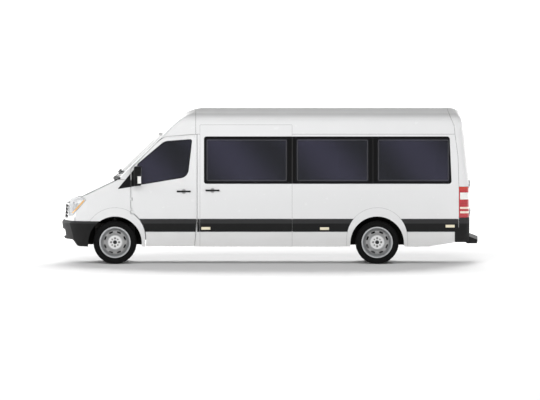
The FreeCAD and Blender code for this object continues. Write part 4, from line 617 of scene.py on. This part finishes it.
silvered = speckled("mirror_glass", (4.0, (0.8, 0.82, 0.84), (0.86, 0.88, 0.9)), (0.02, 0.01, 30.0),
                    Metallic=1.0)
clear = Finish("lamp_lens_white")
clear.shine(
    Base_Color=clear.mottled(80.0, (0.86, 0.86, 0.86), (0.93, 0.93, 0.93)),
    Roughness=0.12 + clear.noise(90.0) * 0.05,
    Normal=clear.bump((clear.z * 700.0).wave(), 0.2, 0.0005),
    Coat_Weight=0.6,
)
for side, hand in HANDS:
    low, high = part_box("mirror_" + hand)
    body = "front_door_" + hand
    outer = low.y if side < 0 else high.y
    centre_y = outer - side * 0.1
    plates, rims = bmesh.new(), bmesh.new()
    for up, tall in MIRROR_PLATES:
        place = Matrix.Translation((high.x, centre_y, low.z + up))
        soft_block(plates, place, (0.006, 0.168, tall), 0.0028)
        soft_block(rims, place @ Matrix.Translation((-0.001, 0, 0)), (0.005, 0.18, tall + 0.014), 0.0024)
    finished("mirror_glasses_" + hand, plates, silvered, body)
    finished("mirror_rims_" + hand, rims, black, body)
    lamp = bmesh.new()
    place = Matrix.Translation((lamp_x, outer - side * 0.005, lamp_z))
    soft_block(lamp, place, (LAMP_LONG, 0.0096, LAMP_TALL), 0.004)
    finished("mirror_lamp_" + hand, lamp, clear, body)


# ---- Headlamps ----
# A clear moulded lens over a bright bowl, which is painted greyer towards its foot as shade. Inside sit a main
# and a dipped reflector with their bulbs, and an amber indicator tube that follows the lens's rear edge.

lens_glass = Finish("headlamp_lens")
lens_glass.shine(
    Base_Color=lens_glass.mottled(3.0, (0.86, 0.88, 0.9), (0.92, 0.93, 0.94)),
    Roughness=0.03 + lens_glass.noise(70.0) * 0.02,
    Alpha=0.2 + lens_glass.noise(9.0) * 0.06,
    Coat_Weight=0.5,
)
lens_glass.cover("headlamp_lenses")

bright = Finish("lamp_bowl")
# painted shade: the bowl is greyer towards its foot
bright.shine(
    Base_Color=bright.mix(bright.z.rise(0.86, 1.04), (0.74, 0.75, 0.77), (0.88, 0.88, 0.89)),
    Roughness=0.24 + bright.noise(14.0) * 0.08,
    Metallic=0.55,
    Normal=bright.bump((bright.z * 260.0).wave(), 0.1, 0.001),
)
bright.cover("headlamps")

amber = Finish("amber_plastic")
amber.shine(
    Base_Color=amber.mottled(20.0, (0.86, 0.4, 0.06), (0.92, 0.52, 0.1)),
    Roughness=0.16 + amber.noise(60.0) * 0.06,
    Normal=amber.bump((amber.z * 620.0).wave(), 0.3, 0.0006),
    Coat_Weight=0.5,
)
silver_cup = speckled("reflector_cup", (6.0, (0.83, 0.84, 0.86), (0.9, 0.9, 0.91)), (0.09, 0.04, 20.0),
                      Metallic=0.95)
bulb_glass = speckled("bulb_glass", (30.0, (0.8, 0.8, 0.76), (0.92, 0.92, 0.88)), (0.08, 0.03, 40.0),
                      Coat_Weight=0.4)


def turned(mesh, place, points, steps=40):
    """Spins a profile of (distance along, radius) about the place's X axis."""
    line = [mesh.verts.new((along, 0, radius)) for along, radius in points]
    edges = [mesh.edges.new(pair) for pair in zip(line, line[1:])]
    bmesh.ops.spin(mesh, geom=line + edges, cent=(0, 0, 0), axis=(1, 0, 0), dvec=(0, 0, 0), angle=2 * math.pi,
                   steps=steps, use_merge=True, use_duplicate=False)
    made = [vert for vert in mesh.verts if not vert.tag]
    bmesh.ops.remove_doubles(mesh, verts=made, dist=1e-6)
    made = [vert for vert in mesh.verts if not vert.tag]
    bmesh.ops.recalc_face_normals(mesh, faces=list({face for vert in made for face in vert.link_faces}))
    bmesh.ops.transform(mesh, matrix=place, verts=made)
    for vert in made:
        vert.tag = True


REFLECTORS = ((0.09, 0.052), (0.18, 0.058))   # middle above the lens's foot, radius
REFLECTOR_Y = 0.735
BOWL = ((0.0, 1.0), (0.003, 0.97), (0.02, 0.8), (0.036, 0.5), (0.044, 0.18), (0.047, 0.0))   # depth, share
BULB = ((0.01, 0.0), (0.012, 0.006), (0.018, 0.009), (0.034, 0.009), (0.042, 0.005))
AHEAD_X = -5.0   # well ahead of the vehicle
TUBE_WIDTH = 0.019
LAMP_LOW, LAMP_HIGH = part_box("headlamp_lenses")
EDGE_TOP = Vector((LAMP_HIGH.x - 0.017, 0, LAMP_HIGH.z - 0.062))
EDGE_FOOT = Vector((LAMP_HIGH.x - 0.212, 0, LAMP_LOW.z + 0.03))
for side, hand in HANDS:
    cups, bulbs = bmesh.new(), bmesh.new()
    for up, radius in REFLECTORS:
        ahead = Vector((AHEAD_X, side * REFLECTOR_Y, LAMP_LOW.z + up))
        place = Matrix.Translation(seek(["headlamp_lenses"], ahead, Vector((1, 0, 0)))[0] + Vector((0.016, 0, 0)))
        turned(cups, place, [(deep, radius * share) for deep, share in BOWL])
        turned(bulbs, place, BULB, 20)
    finished("headlamp_cups_" + hand, cups, silver_cup, "body")
    finished("headlamp_bulbs_" + hand, bulbs, bulb_glass, "body")
    tube = bmesh.new()
    across = Vector((EDGE_TOP.z - EDGE_FOOT.z, 0, EDGE_FOOT.x - EDGE_TOP.x)).normalized() * TUBE_WIDTH
    laid(tube, [(p.x, p.z) for p in (EDGE_FOOT, EDGE_TOP, EDGE_TOP - across, EDGE_FOOT - across)], 0.01,
         ("headlamp_lenses",), side, 0.0012, 0.003)
    finished("indicator_" + hand, tube, amber, "body")


# ---- Grille and nose ----
# Satin black moulded slats in a frame between the lamps, clipped into the white nose, with the radiator dark
# behind them.

grille_black = speckled("satin_black_plastic", (9.0, (0.01, 0.01, 0.011), (0.018, 0.018, 0.019)),
                        (0.3, 0.1, 30.0), (0.08, 0.0004, 300.0))
grille_black.cover("grille")


# ---- Tail lamps ----
# A tall moulded lens at each rear corner, mostly red, with a clear reversing lamp and two pale bars. Fine
# upright flutes are moulded inside it.

TAIL_FRONT_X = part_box("tail_lamps")[0].x
tail = Finish("tail_lamp_lens")
inboard = tail.x.rise(TAIL_FRONT_X + 0.016, TAIL_FRONT_X + 0.022)
clear_part = between(tail.z, 1.068, 1.181) * inboard
bars = (between(tail.z, 0.911, 0.944) + between(tail.z, 0.84, 0.873)) * inboard
upper = tail.z.rise(1.19, 1.26)
red = tail.mix(upper, (0.47, 0.012, 0.022), (0.56, 0.03, 0.012))
colour = tail.mix(clear_part, tail.mix(bars, red, (0.9, 0.78, 0.66)), (0.88, 0.88, 0.86))
groove = between(tail.z, 1.188, 1.192, 0.001) + between(tail.z, 0.996, 1.0, 0.001)
tail.shine(
    Base_Color=tail.mix(groove * 0.6, colour, (0.1, 0.005, 0.005)),
    Roughness=0.08 + tail.noise(40.0) * 0.05,
    Coat_Weight=0.8,
    Normal=tail.bump((tail.x * 800.0).wave() + (tail.y * 800.0).wave(), 0.15, 0.0006),
)
tail.cover("tail_lamps")


# ---- Tyres ----
# Radial van tyres with three straight ribs between two shoulders of slanted blocks. Fine rings run round the
# sidewalls, and the tread is dusty where it meets the road.

BEAD_SEAT = 0.246
TREAD = (   # distance from the middle plane, height above the bead seat, depth of the cross grooves there
    (0.0, 0.1115, 0), (0.012, 0.1115, 0), (0.0135, 0.1045, 0), (0.0205, 0.1045, 0), (0.022, 0.1112, 0.0035),
    (0.05, 0.1105, 0.0035), (0.0515, 0.104, 0), (0.0585, 0.104, 0), (0.06, 0.11, 0.0065),
    (0.084, 0.1085, 0.0065), (0.0945, 0.105, 0.0065), (0.101, 0.099, 0.005), (0.1045, 0.09, 0.0015),
    (0.107, 0.082, 0), (0.1085, 0.0815, 0), (0.1095, 0.078, 0), (0.109, 0.077, 0), (0.1112, 0.066, 0),
    (0.1122, 0.056, 0), (0.1118, 0.047, 0), (0.1108, 0.04, 0), (0.1118, 0.039, 0), (0.1112, 0.035, 0),
    (0.1098, 0.033, 0), (0.1085, 0.026, 0), (0.1055, 0.018, 0), (0.1035, 0.0142, 0), (0.1005, 0.0135, 0),
    (0.099, 0.001, 0), (0.093, 0.001, 0), (0.086, 0.04, 0), (0.078, 0.088, 0), (0.0, 0.094, 0),
)
PITCHES = 76
GROOVE_SHARES = ((0.0, 0), (0.78, 0), (0.82, 1), (0.96, 1))   # share of a pitch, and whether it is in a groove
SLANT = 0.55   # turn of a cross groove for each metre outwards
SLANT_END = 0.105
TREAD_RADIUS = 0.357


def wheel_centre(name):
    """The middle of a wheel, on its axle."""
    low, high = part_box("rim_" + name)
    return (low + high) / 2


def from_axle(finish, name):
    """Distance from a wheel's axle, as a term."""
    centre = wheel_centre(name)
    return ((finish.x - centre.x) ** 2 + (finish.z - centre.z) ** 2) ** 0.5


def tyre_mesh(centre):
    """A tyre: its section at four places in each pitch, joined round the wheel."""
    outline = [*TREAD, *((-y, rise, cut) for y, rise, cut in TREAD[-2:0:-1])]
    mesh = bmesh.new()
    rings = []
    for pitch in range(PITCHES):
        for share, grooved in GROOVE_SHARES:
            turn = (pitch + share) * 2 * math.pi / PITCHES
            ring = []
            for y, rise, cut in outline:
                radius = BEAD_SEAT + rise - cut * grooved
                angle = turn + SLANT * max(-SLANT_END, min(SLANT_END, y))
                spot = Vector((radius * math.cos(angle), y, radius * math.sin(angle)))
                ring.append(mesh.verts.new(centre + spot))
            rings.append(ring)
    for one, two in zip(rings, rings[1:] + rings[:1]):
        for corners in zip(one, one[1:] + one[:1], two[1:] + two[:1], two):
            mesh.faces.new(corners)
    bmesh.ops.recalc_face_normals(mesh, faces=mesh.faces)
    return mesh


for axle in ("front", "rear"):
    rubber = Finish("tyre_rubber_" + axle)
    reach = from_axle(rubber, axle + "_left")
    worn = reach.rise(TREAD_RADIUS - 0.012, TREAD_RADIUS) * rubber.noise(40.0, 4.0)
    fresh = rubber.mottled(7.0, (0.0035, 0.0035, 0.0038), (0.006, 0.006, 0.006))
    rubber.shine(
        Base_Color=rubber.mix(worn * 0.5, fresh, (0.022, 0.021, 0.02)),
        Roughness=0.62 + rubber.noise(16.0) * 0.16 + worn * 0.15,
        Normal=rubber.bump((reach * 2600.0).wave() * (1 - reach.rise(0.325, 0.335)) + rubber.noise(500.0) * 0.5,
                           0.22, 0.0005),
        Specular_IOR_Level=0.16,
    )
    for side, hand in HANDS:
        name = f"{axle}_{hand}"
        piece = finished("tread_" + name, tyre_mesh(wheel_centre(name)), rubber, "wheel_" + name)
        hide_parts("tyre_" + name)


# ---- Wheels ----
# Pressed steel wheels in silver enamel, paler on the middle disc. Brake dust greys them near their eight slots,
# and their inner side is painted near black as shade. Each is held by hexagon bolts round a black centre cap.

WHEELS = [(f"{axle}_{hand}", side) for axle in ("front", "rear") for side, hand in HANDS]
DISC_RADIUS = 0.118
BOLT_CIRCLE = 0.066
BOLT_FACE = 0.0195     # outward of the wheel's middle plane, as the valve is
VALVE_OUT, VALVE_RADIUS = 0.078, 0.222
CAP = ((-0.002, 0.0325), (0.004, 0.032), (0.006, 0.0295), (0.003, 0.027), (0.002, 0.0))
VALVE = ((-0.02, 0.0055), (0.004, 0.005), (0.005, 0.0038), (0.016, 0.0038), (0.018, 0.003), (0.018, 0.0))

steel = speckled("zinc_bolt", (60.0, (0.16, 0.16, 0.16), (0.34, 0.34, 0.33)), (0.36, 0.2, 90.0),
                 Metallic=0.85)
for name, side in WHEELS:
    centre = wheel_centre(name)
    silver = Finish("silver_enamel_" + name)
    reach = from_axle(silver, name)
    # painted shade: the wheel's inner side, behind the disc, is near black
    inside = 1 - abs(silver.y).rise(abs(centre.y), abs(centre.y) + 0.006)
    dusted = between(reach, 0.125, 0.215, 0.015) * (0.3 + silver.noise(9.0, 4.0) * 0.35)
    outer = reach.rise(DISC_RADIUS - 0.013, DISC_RADIUS)
    enamel = silver.mix(1 - outer, (0.56, 0.57, 0.58), (0.84, 0.84, 0.84))
    silver.shine(
        Base_Color=silver.mix(inside, silver.mix(dusted, enamel, (0.24, 0.23, 0.22)), (0.012, 0.012, 0.012)),
        Metallic=(0.25 + outer * 0.3) * (1 - inside),
        Roughness=0.36 + dusted * 0.25 + inside * 0.3,
        Normal=silver.bump(silver.noise(260.0, 2.0), 0.06, 0.0004),
        Coat_Weight=0.3,
    )
    silver.cover("rim_" + name)
    bolts, caps = bmesh.new(), bmesh.new()
    outward = Matrix.Rotation(side * math.pi / 2, 4, "Z")
    face_y = centre.y + side * BOLT_FACE
    for i in range(8):
        turn = i * math.pi / 4
        proud, size = ((0.015, 0.0125), (0.007, 0.0085))[i % 2]
        place = Matrix.Translation((centre.x + BOLT_CIRCLE * math.cos(turn), face_y,
                                    centre.z + BOLT_CIRCLE * math.sin(turn)))
        washer = [(0.0, size * 1.45), (0.003, size * 1.45), (0.0035, size * 1.02)]
        hexagon = [(0.003, size), (proud - 0.002, size), (proud, size * 0.8), (proud, 0.0)]
        turned(bolts, place @ outward, washer, 24)
        turned(bolts, place @ outward, hexagon, 6)
    turned(caps, Matrix.Translation((centre.x, face_y, centre.z)) @ outward, CAP, 48)
    valve = Matrix.Translation((centre.x, centre.y + side * VALVE_OUT, centre.z)) @ Matrix.Rotation(0.35, 4, "Y")
    turned(caps, valve @ Matrix.Translation((0, 0, VALVE_RADIUS)) @ outward, VALVE, 16)
    finished("wheel_bolts_" + name, bolts, steel, "wheel_" + name)
    finished("wheel_caps_" + name, caps, grille_black, "wheel_" + name)


# ---- Wheel housings ----
# Rough black fibre liners, pressed to the shape of the arches and clipped inside them. Dried road dirt cakes them
# towards the bottom.

fibre = Finish("arch_liner")
caked = (1 - fibre.z.rise(0.35, 0.75)) * fibre.noise(12.0, 5.0)
fibre.shine(
    Base_Color=fibre.mix(caked * 0.5, (0.006, 0.006, 0.006), (0.03, 0.028, 0.025)),
    Roughness=0.88 + fibre.noise(50.0) * 0.1,
    Normal=fibre.bump(fibre.noise(180.0, 4.0), 0.5, 0.002),
    Specular_IOR_Level=0.1,
)
fibre.cover("wheel_housings")


# ---- Chassis and running gear ----
# Rails, axles and arms are in black chassis paint with patches of rust, the engine is bare cast iron, and the
# fuel tank is moulded plastic. The exhaust is dull aluminised steel, browner near its hot end.

chassis = Finish("chassis_paint")
rust = chassis.noise(14.0, 6.0, 0.7).rise(0.58, 0.72)
coat = chassis.mottled(5.0, (0.014, 0.014, 0.015), (0.03, 0.029, 0.028))
chassis.shine(
    Base_Color=chassis.mix(rust * 0.5, coat, (0.085, 0.04, 0.02)),
    Roughness=0.55 + rust * 0.3 + chassis.noise(30.0) * 0.08,
    Normal=chassis.bump(chassis.noise(130.0, 4.0), 0.25, 0.0012),
)
chassis.cover("front_end", "front_suspension", "rear_axle", "driveline", "knuckle_left", "knuckle_right",
              "seat_frames")

iron = speckled("cast_engine_block", (9.0, (0.06, 0.058, 0.055), (0.14, 0.13, 0.12), 5.0),
                (0.52, 0.2, 40.0), (0.4, 0.001, 240.0, 3.0), Metallic=0.6)
iron.cover("engine")

hot_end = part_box("exhaust")[0].x
pipe = Finish("aluminised_steel")
heat = 1 - pipe.x.rise(hot_end, hot_end + 2.4)
dull = pipe.mottled(8.0, (0.2, 0.19, 0.18), (0.33, 0.32, 0.31), 5.0)
pipe.shine(
    Base_Color=pipe.mix(heat * 0.7, dull, (0.16, 0.1, 0.06)),
    Metallic=0.75,
    Roughness=0.42 + pipe.noise(25.0) * 0.2,
    Normal=pipe.bump(pipe.noise(150.0, 3.0), 0.15, 0.0008),
)
pipe.cover("exhaust")

tank = speckled("tank_plastic", (6.0, (0.012, 0.012, 0.013), (0.03, 0.029, 0.028), 4.0), (0.46, 0.14, 22.0),
                (0.1, 0.001, 90.0))
tank.cover("fuel_tank")


# ---- Floor and bulkhead ----
# The steel floor is painted near black underneath, and its upper face carries a grey ribbed rubber mat. The
# bulkhead is in grey primer.

FLOOR_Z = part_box("floor_pan")[1].z
pan = Finish("floor_pan")
mat = pan.z.rise(FLOOR_Z - 0.004, FLOOR_Z - 0.002)
underside = pan.mottled(7.0, (0.022, 0.021, 0.02), (0.045, 0.042, 0.038), 5.0)
upper_face = pan.mottled(30.0, (0.07, 0.072, 0.076), (0.095, 0.096, 0.1))
pan.shine(
    Base_Color=pan.mix(mat, underside, upper_face),
    Roughness=0.6 + pan.noise(20.0) * 0.12,
    Normal=pan.bump((pan.y * 900.0).wave() * mat + pan.noise(160.0) * 0.4, 0.3, 0.001),
)
pan.cover("floor_pan")

primer = speckled("grey_primer", (10.0, (0.1, 0.1, 0.105), (0.16, 0.16, 0.165), 4.0), (0.5, 0.1, 25.0),
                  (0.1, 0.0006, 200.0))
primer.cover("bulkhead")


# ---- Dashboard and steering wheel ----
# The dashboard is dark grey soft-touch plastic, with a fine leather grain. The steering wheel's rim is
# polyurethane, polished where hands hold it.

facia = Finish("dashboard_plastic")
leather = facia.add("TexVoronoi", {}, {"Vector": facia.place, "Scale": 420.0}, "Distance")
facia.shine(
    Base_Color=facia.mottled(4.0, (0.03, 0.031, 0.033), (0.046, 0.047, 0.05)),
    Roughness=0.58 + facia.noise(12.0) * 0.1,
    Normal=facia.bump(leather, 0.3, 0.0006),
)
facia.cover("dashboard")
grip = speckled("steering_wheel_rim", (12.0, (0.012, 0.012, 0.013), (0.024, 0.024, 0.025)), (0.38, 0.2, 18.0),
                (0.2, 0.0004, 420.0))
grip.cover("steering_wheel")


# ---- Seats ----
# Foam pads under woven blue-grey cloth, with sewn bolsters at both sides and cross channels stitched into the
# middle. Every seat has a cushion, a reclined back and a headrest.

BOLSTER = 0.74   # where the side seams run, as a share of the half width
RECLINE = math.radians(10)
LONG = 0.4       # only a cushion is longer than this, and only a back is taller
ROUNDING = 0.03
SWELL = 0.014
SEAM_HALF = 0.02
WRINKLE = 0.0016

cloth = Finish("seat_cloth")
# painted shade: the cloth is darkened in the stitched creases
seam_shade = cloth.add("Attribute", {"attribute_name": "seam_shade"}, {}, "Fac")
middle = cloth.add("Attribute", {"attribute_name": "middle"}, {}, "Fac")
weave = (cloth.x * 1500 + cloth.z * 1500).wave() * (cloth.y * 1500).wave()
fleck = cloth.noise(220.0, 2.0).rise(0.56, 0.64) * middle
ground = cloth.mix(middle, (0.02, 0.023, 0.03), (0.036, 0.048, 0.075))
woven = cloth.mix(fleck, ground, (0.11, 0.125, 0.15))
cloth.shine(
    Base_Color=cloth.mix(seam_shade * 0.7, woven, (0.008, 0.009, 0.011)),
    Roughness=0.9 + cloth.noise(30.0) * 0.08,
    Normal=cloth.bump(weave + cloth.noise(14.0) * 2.0, 0.35, 0.0012),
    Specular_IOR_Level=0.15,
    Sheen_Weight=0.25,
)


def blocks(name):
    """(lowest, highest) corner of each separate block of a CAD node."""
    mesh = copied(name)
    left, found = set(mesh.verts), []
    while left:
        group, waiting = set(), [left.pop()]
        while waiting:
            vert = waiting.pop()
            group.add(tuple(vert.co))
            for link in vert.link_edges:
                other = link.other_vert(vert)
                if other in left:
                    left.discard(other)
                    waiting.append(other)
        found.append([Vector(pick(p[i] for p in group) for i in range(3)) for pick in (min, max)])
    mesh.free()
    return found


def marks(count, creases):
    """Grid lines from -1 to 1, closer together at both ends and at the creases."""
    lines = {round(-1 + 2 * i / count, 4) for i in range(count + 1)} | {-0.96, 0.96}
    for crease in creases:
        lines = {line for line in lines if abs(line - crease) > 0.035 or abs(line) == 1}
        lines |= {round(crease + shift, 4) for shift in (-0.03, -0.012, 0, 0.012, 0.03)}
    return sorted(lines)


def pad(mesh, place, size, channels, bolster, swell):
    """A stuffed pad. Its upper face swells between the side seams and the cross channels."""
    grid = [marks(8, channels), marks(6, (-bolster, bolster) if bolster else ()), [-1, -0.55, 0, 0.55, 1]]
    layers = mesh.verts.layers.float
    seams, middles = (layers.get(key) or layers.new(key) for key in ("seam_shade", "middle"))
    half = Vector(size) / 2
    core = half - Vector((ROUNDING,) * 3)
    last = [len(lines) - 1 for lines in grid]
    made = {}

    def point(*index):
        """The pad's vertex at one place of the grid, made once."""
        if index in made:
            return made[index]
        unit = [grid[k][index[k]] for k in range(3)]
        outer = Vector(half[k] * unit[k] for k in range(3))
        inner = Vector(max(-core[k], min(core[k], outer[k])) for k in range(3))
        spot = inner + (outer - inner).normalized() * ROUNDING
        side = math.exp(-((abs(unit[1]) - bolster) / SEAM_HALF) ** 2) if bolster else 0.0
        inside = 1.0 if abs(unit[1]) < (bolster or 2) else 0.0
        cross = max((math.exp(-((unit[0] - c) / SEAM_HALF) ** 2) for c in channels), default=0.0) * inside
        upper = max(0.0, unit[2])
        puff = (1 - abs(unit[0]) ** 4) * (1 - abs(unit[1]) ** 4)
        wings = 0.6 * (1 - inside) if bolster else 0.0
        spot.z += upper * swell * (puff + wings * (1 - abs(unit[0]) ** 6) - 1.1 * max(side, cross))
        spot.z += WRINKLE * upper * math.sin(31 * spot.x + 7 * spot.y) * math.sin(23 * spot.y)
        vert = mesh.verts.new(place @ spot)
        # where the painted shade of the stitched creases lies
        vert[seams] = max(side, cross) * upper
        vert[middles] = inside * upper
        made[index] = vert
        return vert

    for axis in range(3):
        one, two = (axis + 1) % 3, (axis + 2) % 3
        for level in (0, last[axis]):
            for i in range(last[one]):
                for j in range(last[two]):
                    corners = []
                    for di, dj in ((0, 0), (1, 0), (1, 1), (0, 1)):
                        index = [0, 0, 0]
                        index[axis], index[one], index[two] = level, i + di, j + dj
                        corners.append(point(*index))
                    mesh.faces.new(corners if level else corners[::-1])


for name in ("cab_seat_cushions", "passenger_seat_cushions"):
    mesh = bmesh.new()
    for low, high in blocks(name):
        size, centre = high - low, (low + high) / 2
        if size.x > LONG:
            pad(mesh, Matrix.Translation(centre - Vector((0, 0, 0.006))), (size.x, size.y, size.z - 0.012),
                (-0.45, 0.0, 0.45), BOLSTER, SWELL)
            continue
        facing = Matrix.Translation(centre) @ Matrix.Rotation(RECLINE - math.pi / 2, 4, "Y")
        tall = (size.z - 0.09 * math.sin(RECLINE)) / math.cos(RECLINE)
        if size.z > LONG:
            pad(mesh, facing @ Matrix.Translation((0, 0, -0.007)), (tall, size.y, 0.076),
                (-0.6, -0.3, 0.0, 0.3, 0.6), BOLSTER, SWELL)
        else:
            pad(mesh, facing @ Matrix.Translation((0, 0, -0.003)), (tall, size.y, 0.07), (), 0.0, 0.01)
    piece = finished(name.replace("cushions", "pads"), mesh, cloth, "body", 60.0)
    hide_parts(name)


# ---- Studio ----
# The vehicle stands on a plain pale floor that sweeps up behind it, under even white light from all round and two
# large soft lamps beside it. Two soft suns light the floor alone, from behind the vehicle and from before it, for
# its shadows. The camera looks square at the left flank from far away.

VIEW_WIDTH = 8.91
VIEW_TILT = math.radians(2.0)
VIEW_CENTRE = Vector((0.0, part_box("sliding_door")[0].y, 1.059))
VIEW_DISTANCE = 80.0
HALF_SWEEP = 120.0
BEND_Y = 10.0
BEND_RADIUS = 5.0
BEND_STEPS = 12
BACKDROP_TOP = 22.0

sweep = bmesh.new()
section = [(-HALF_SWEEP, GROUND_Z), (BEND_Y, GROUND_Z)]
for step in range(1, BEND_STEPS + 1):
    turn = math.pi / 2 * step / BEND_STEPS
    section.append((BEND_Y + BEND_RADIUS * math.sin(turn), GROUND_Z + BEND_RADIUS * (1 - math.cos(turn))))
section.append((BEND_Y + BEND_RADIUS, BACKDROP_TOP))
profile = [sweep.verts.new((-HALF_SWEEP, y, z)) for y, z in section]
line = [sweep.edges.new(pair) for pair in zip(profile, profile[1:])]
across = bmesh.ops.extrude_edge_only(sweep, edges=line)
bmesh.ops.translate(sweep, vec=(2 * HALF_SWEEP, 0, 0),
                    verts=[item for item in across["geom"] if isinstance(item, bmesh.types.BMVert)])
bmesh.ops.recalc_face_normals(sweep, faces=sweep.faces)
studio = bpy.data.meshes.new("studio_floor")
sweep.to_mesh(studio)
sweep.free()
studio.polygons.foreach_set("use_smooth", [True] * len(studio.polygons))
floor = placed("studio_floor", studio)
pale = Finish("pale_floor")
pale.shine(
    Base_Color=(0.25, 0.25, 0.25),
    Roughness=1.0,
    Specular_IOR_Level=0.0,
    Emission_Color=pale.mix(pale.y.rise(7.0, 13.0), (0.0, 0.0, 0.0), (0.95, 0.95, 0.95)),
    Emission_Strength=1.0,
)
studio.materials.append(pale.material)

# The sky is white below the horizon, and above it dims towards the zenith.
sky = Finish("studio_light", bpy.data.worlds, "Background")
above = sky.add("MapRange", {}, {0: sky.z, 1: 0.05, 2: 0.75, 3: 0.85, 4: 0.3})
sky.shine(Color=(1.0, 1.0, 1.0), Strength=above.most(sky.z.math("LESS_THAN", 0.0)))
bpy.context.scene.world = sky.material

for name, place, aim, size, power in (
    ("lamp_side", (-1.0, -10.0, 4.2), (0.0, 0.0, 1.2), (9.0, 3.0), 400.0),
    ("lamp_front", (-9.0, -5.0, 4.0), (-2.5, 0.0, 1.0), (4.0, 3.0), 60.0),
):
    data = bpy.data.lights.new(name, "AREA")
    data.shape = "RECTANGLE"
    data.size, data.size_y = size
    data.energy = power
    lamp = placed(name, data)
    lamp.location = place
    lamp.rotation_euler = (Vector(aim) - Vector(place)).to_track_quat("-Z", "Y").to_euler()
    lamp.visible_glossy = False

floor_only, not_floor = (bpy.data.collections.new(name) for name in ("floor_only", "not_floor"))
for group in (floor_only, not_floor):
    group.objects.link(floor)
not_floor.collection_objects[0].light_linking.link_state = "EXCLUDE"
for name, heading, power in (
    ("floor_lamp_behind", (-0.08, -1.0, -0.36), 25.0),
    ("floor_lamp_before", (0.08, 1.0, -0.45), 9.0),
):
    data = bpy.data.lights.new(name, "SUN")
    data.energy = power
    data.angle = 0.6
    lamp = placed(name, data)
    lamp.rotation_euler = Vector(heading).to_track_quat("-Z", "Y").to_euler()
    lamp.light_linking.receiver_collection = floor_only
    lamp.light_linking.blocker_collection = not_floor

bpy.context.scene.view_settings.view_transform = "Standard"

view = bpy.data.cameras.new("camera")
view.type = "ORTHO"
view.ortho_scale = VIEW_WIDTH
view.clip_end = 300.0
camera = placed("camera", view)
camera.rotation_euler = (math.pi / 2 - VIEW_TILT, 0, 0)
camera.location = VIEW_CENTRE + VIEW_DISTANCE * Vector((0, -math.cos(VIEW_TILT), math.sin(VIEW_TILT)))
bpy.context.scene.camera = camera
